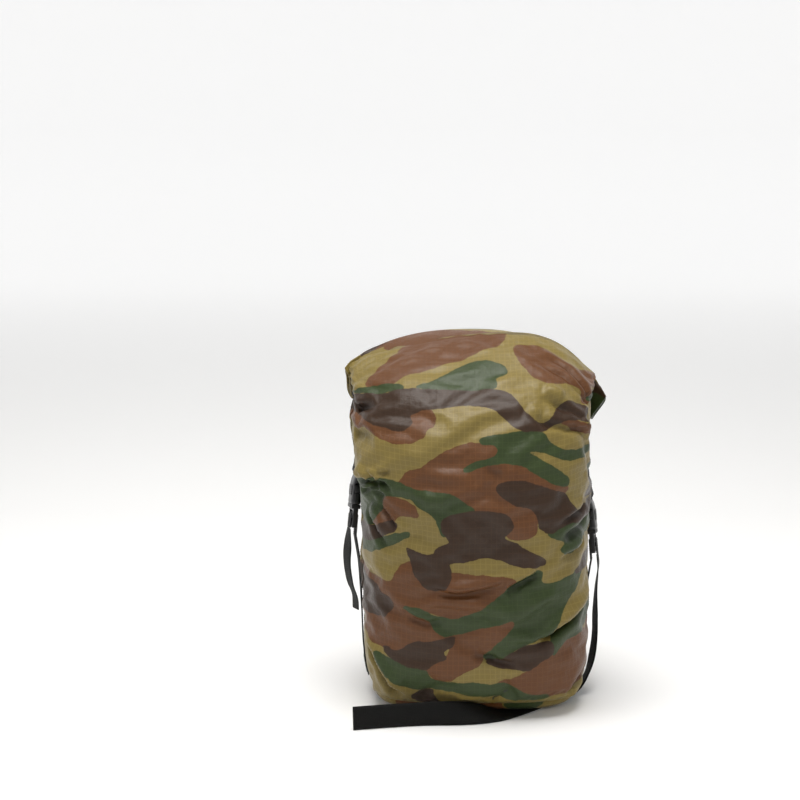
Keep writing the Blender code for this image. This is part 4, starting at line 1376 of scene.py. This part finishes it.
def make_buckle_details(material):
    """The moulded frame on each housing's outer face and the grip ribs across each plug's flange."""
    for word, side in SIDES.items():
        origin, across, out, up = buckle_axes(side)
        count, sides = 48, 8
        ring = []
        for k in range(count):
            x, y = math.cos(2 * math.pi * k / count), math.sin(2 * math.pi * k / count)
            x = 9.5 * MM * math.copysign(abs(x) ** 0.5, x)
            y = 14.5 * MM + 6.0 * MM * math.copysign(abs(y) ** 0.5, y)
            depth = (HOUSING_HALF_DEPTH - 0.15 * MM) * (1 - abs(x / HOUSING_HALF_WIDTH) ** 4) ** 0.35
            ring.append(origin + across * x + out * depth + up * y)
        points = []
        for k, middle in enumerate(ring):
            beside = np.cross(out, unit(ring[(k + 1) % count] - ring[k - 1]))
            for j in range(sides):
                angle = 2 * math.pi * j / sides
                points.append(middle + (beside * math.cos(angle) + out * math.sin(angle)) * 0.6 * MM)
        faces = [tuple(i % (count * sides) for i in f) for f in strip_faces(count + 1, sides)]
        obj = add_piece(f"{word}_housing_rim", points, faces, material, body=f"{word}_housing")

        def ribs(heights, reach, depth, origin=origin, across=across, out=out, up=up):
            starts = [origin + out * depth + up * height * MM for height in heights]
            return [(start - across * reach, start + across * reach, out) for start in starts]

        grip = ribs((10.5, 12.5, 14.5, 16.5, 18.5), 7.5 * MM, HOUSING_HALF_DEPTH - 0.1 * MM)
        obj = thread_piece(f"{word}_housing_ribs", grip, 0.5 * MM, material, body=f"{word}_housing")
        grip = ribs((-1.5, -2.9, -4.3), 12 * MM, 5 * MM)
        thread_piece(f"{word}_plug_ribs", grip, 0.4 * MM, material)


def make_stage():
    """A pale floor that curves up into a wall all round; it glows as painted light, brightest behind the
    sack.
    """
    profile = [(0.001, 0.0), (1.0, 0.0), (2.2, 0.0), (3.4, 0.0)]
    profile += [(3.9, 0.06), (4.4, 0.3), (4.8, 0.8), (5.0, 1.6), (5.0, 4.5)]
    columns = 96
    angles = np.linspace(0, 2 * math.pi, columns + 1)[:-1]
    points = [(r * math.cos(a), r * math.sin(a), z) for r, z in profile for a in angles]
    mesh = bpy.data.meshes.new("floor")
    mesh.from_pydata(points, [], strip_faces(len(profile), columns))
    mesh.polygons.foreach_set("use_smooth", [True] * len(mesh.polygons))
    mesh.flip_normals()
    floor = bpy.data.objects.new("floor", mesh)
    bpy.context.collection.objects.link(floor)
    g = Graph("floor")
    x, y, _ = g.split(g.place())
    # Painted light: the floor and wall glow, brightest behind the sack and further out, and light the sack
    # like a lamp.
    behind = g.math("MULTIPLY_ADD", y, 0.45, -0.35, clamp=True)
    distance = g.math("SQRT", g.math("ADD", g.math("POWER", x, 2), g.math("POWER", y, 2)))
    round_about = g.math("MULTIPLY_ADD", distance, 0.5, -1.0, clamp=True)
    glow = g.math("ADD", g.math("MULTIPLY", behind, 0.28), g.math("MULTIPLY", round_about, 0.28))
    tone = g.mix(round_about, (0.93, 0.93, 0.93, 1), (0.6, 0.6, 0.6, 1))
    g.set(Base_Color=tone, Roughness=0.9, Emission_Color=(1, 1, 1, 1), Emission_Strength=glow)
    mesh.materials.append(g.material)
    world = bpy.data.worlds.new("world")
    world.use_nodes = True
    background = world.node_tree.nodes["Background"].inputs
    background[0].default_value = (1, 1, 1, 1)
    background[1].default_value = 0.22
    bpy.context.scene.world = world
    bpy.context.scene.view_settings.view_transform = "Standard"
    area_light("top", (-0.1, -0.2, 2.0), (0, 0, 0.2), (1.3, 1.0), 40)
    area_light("front", (-0.5, -2.4, 1.7), (0, 0, 0.2), (1.0, 0.8), 4.2)


make_camera()
make_stage()
WEBBING = webbing_material()
make_tails(WEBBING)
RIPSTOP = ripstop_material()
PLASTIC = plastic_material()
THREAD = cloth_material("thread", srgb(24, 28, 20), srgb(50, 54, 38))
make_straps(WEBBING, THREAD)
make_buckle_details(PLASTIC)
SACK_BODY = make_sack(RIPSTOP)
make_seams(SACK_BODY, RIPSTOP, THREAD)
make_anchor_patches(SACK_BODY, RIPSTOP, THREAD)
make_base(RIPSTOP)
make_load(cloth_material("filling", srgb(60, 66, 60), srgb(82, 88, 80)))
make_roll(RIPSTOP)
make_neck(RIPSTOP)
TAPE = cloth_material("tape", srgb(30, 34, 26), srgb(52, 56, 42))
# The CAD pieces that still show: the buckles, with their edges softened, and the inner seam binding
for name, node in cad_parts.items():
    if node.hide_render:
        continue
    node.data.materials.clear()
    node.data.materials.append(PLASTIC if "buckle" in name else TAPE)
    if "buckle" in name:
        bevel = node.modifiers.new("bevel", "BEVEL")
        bevel.width = 0.5 * MM
        bevel.segments = 2
        bevel.limit_method = "ANGLE"
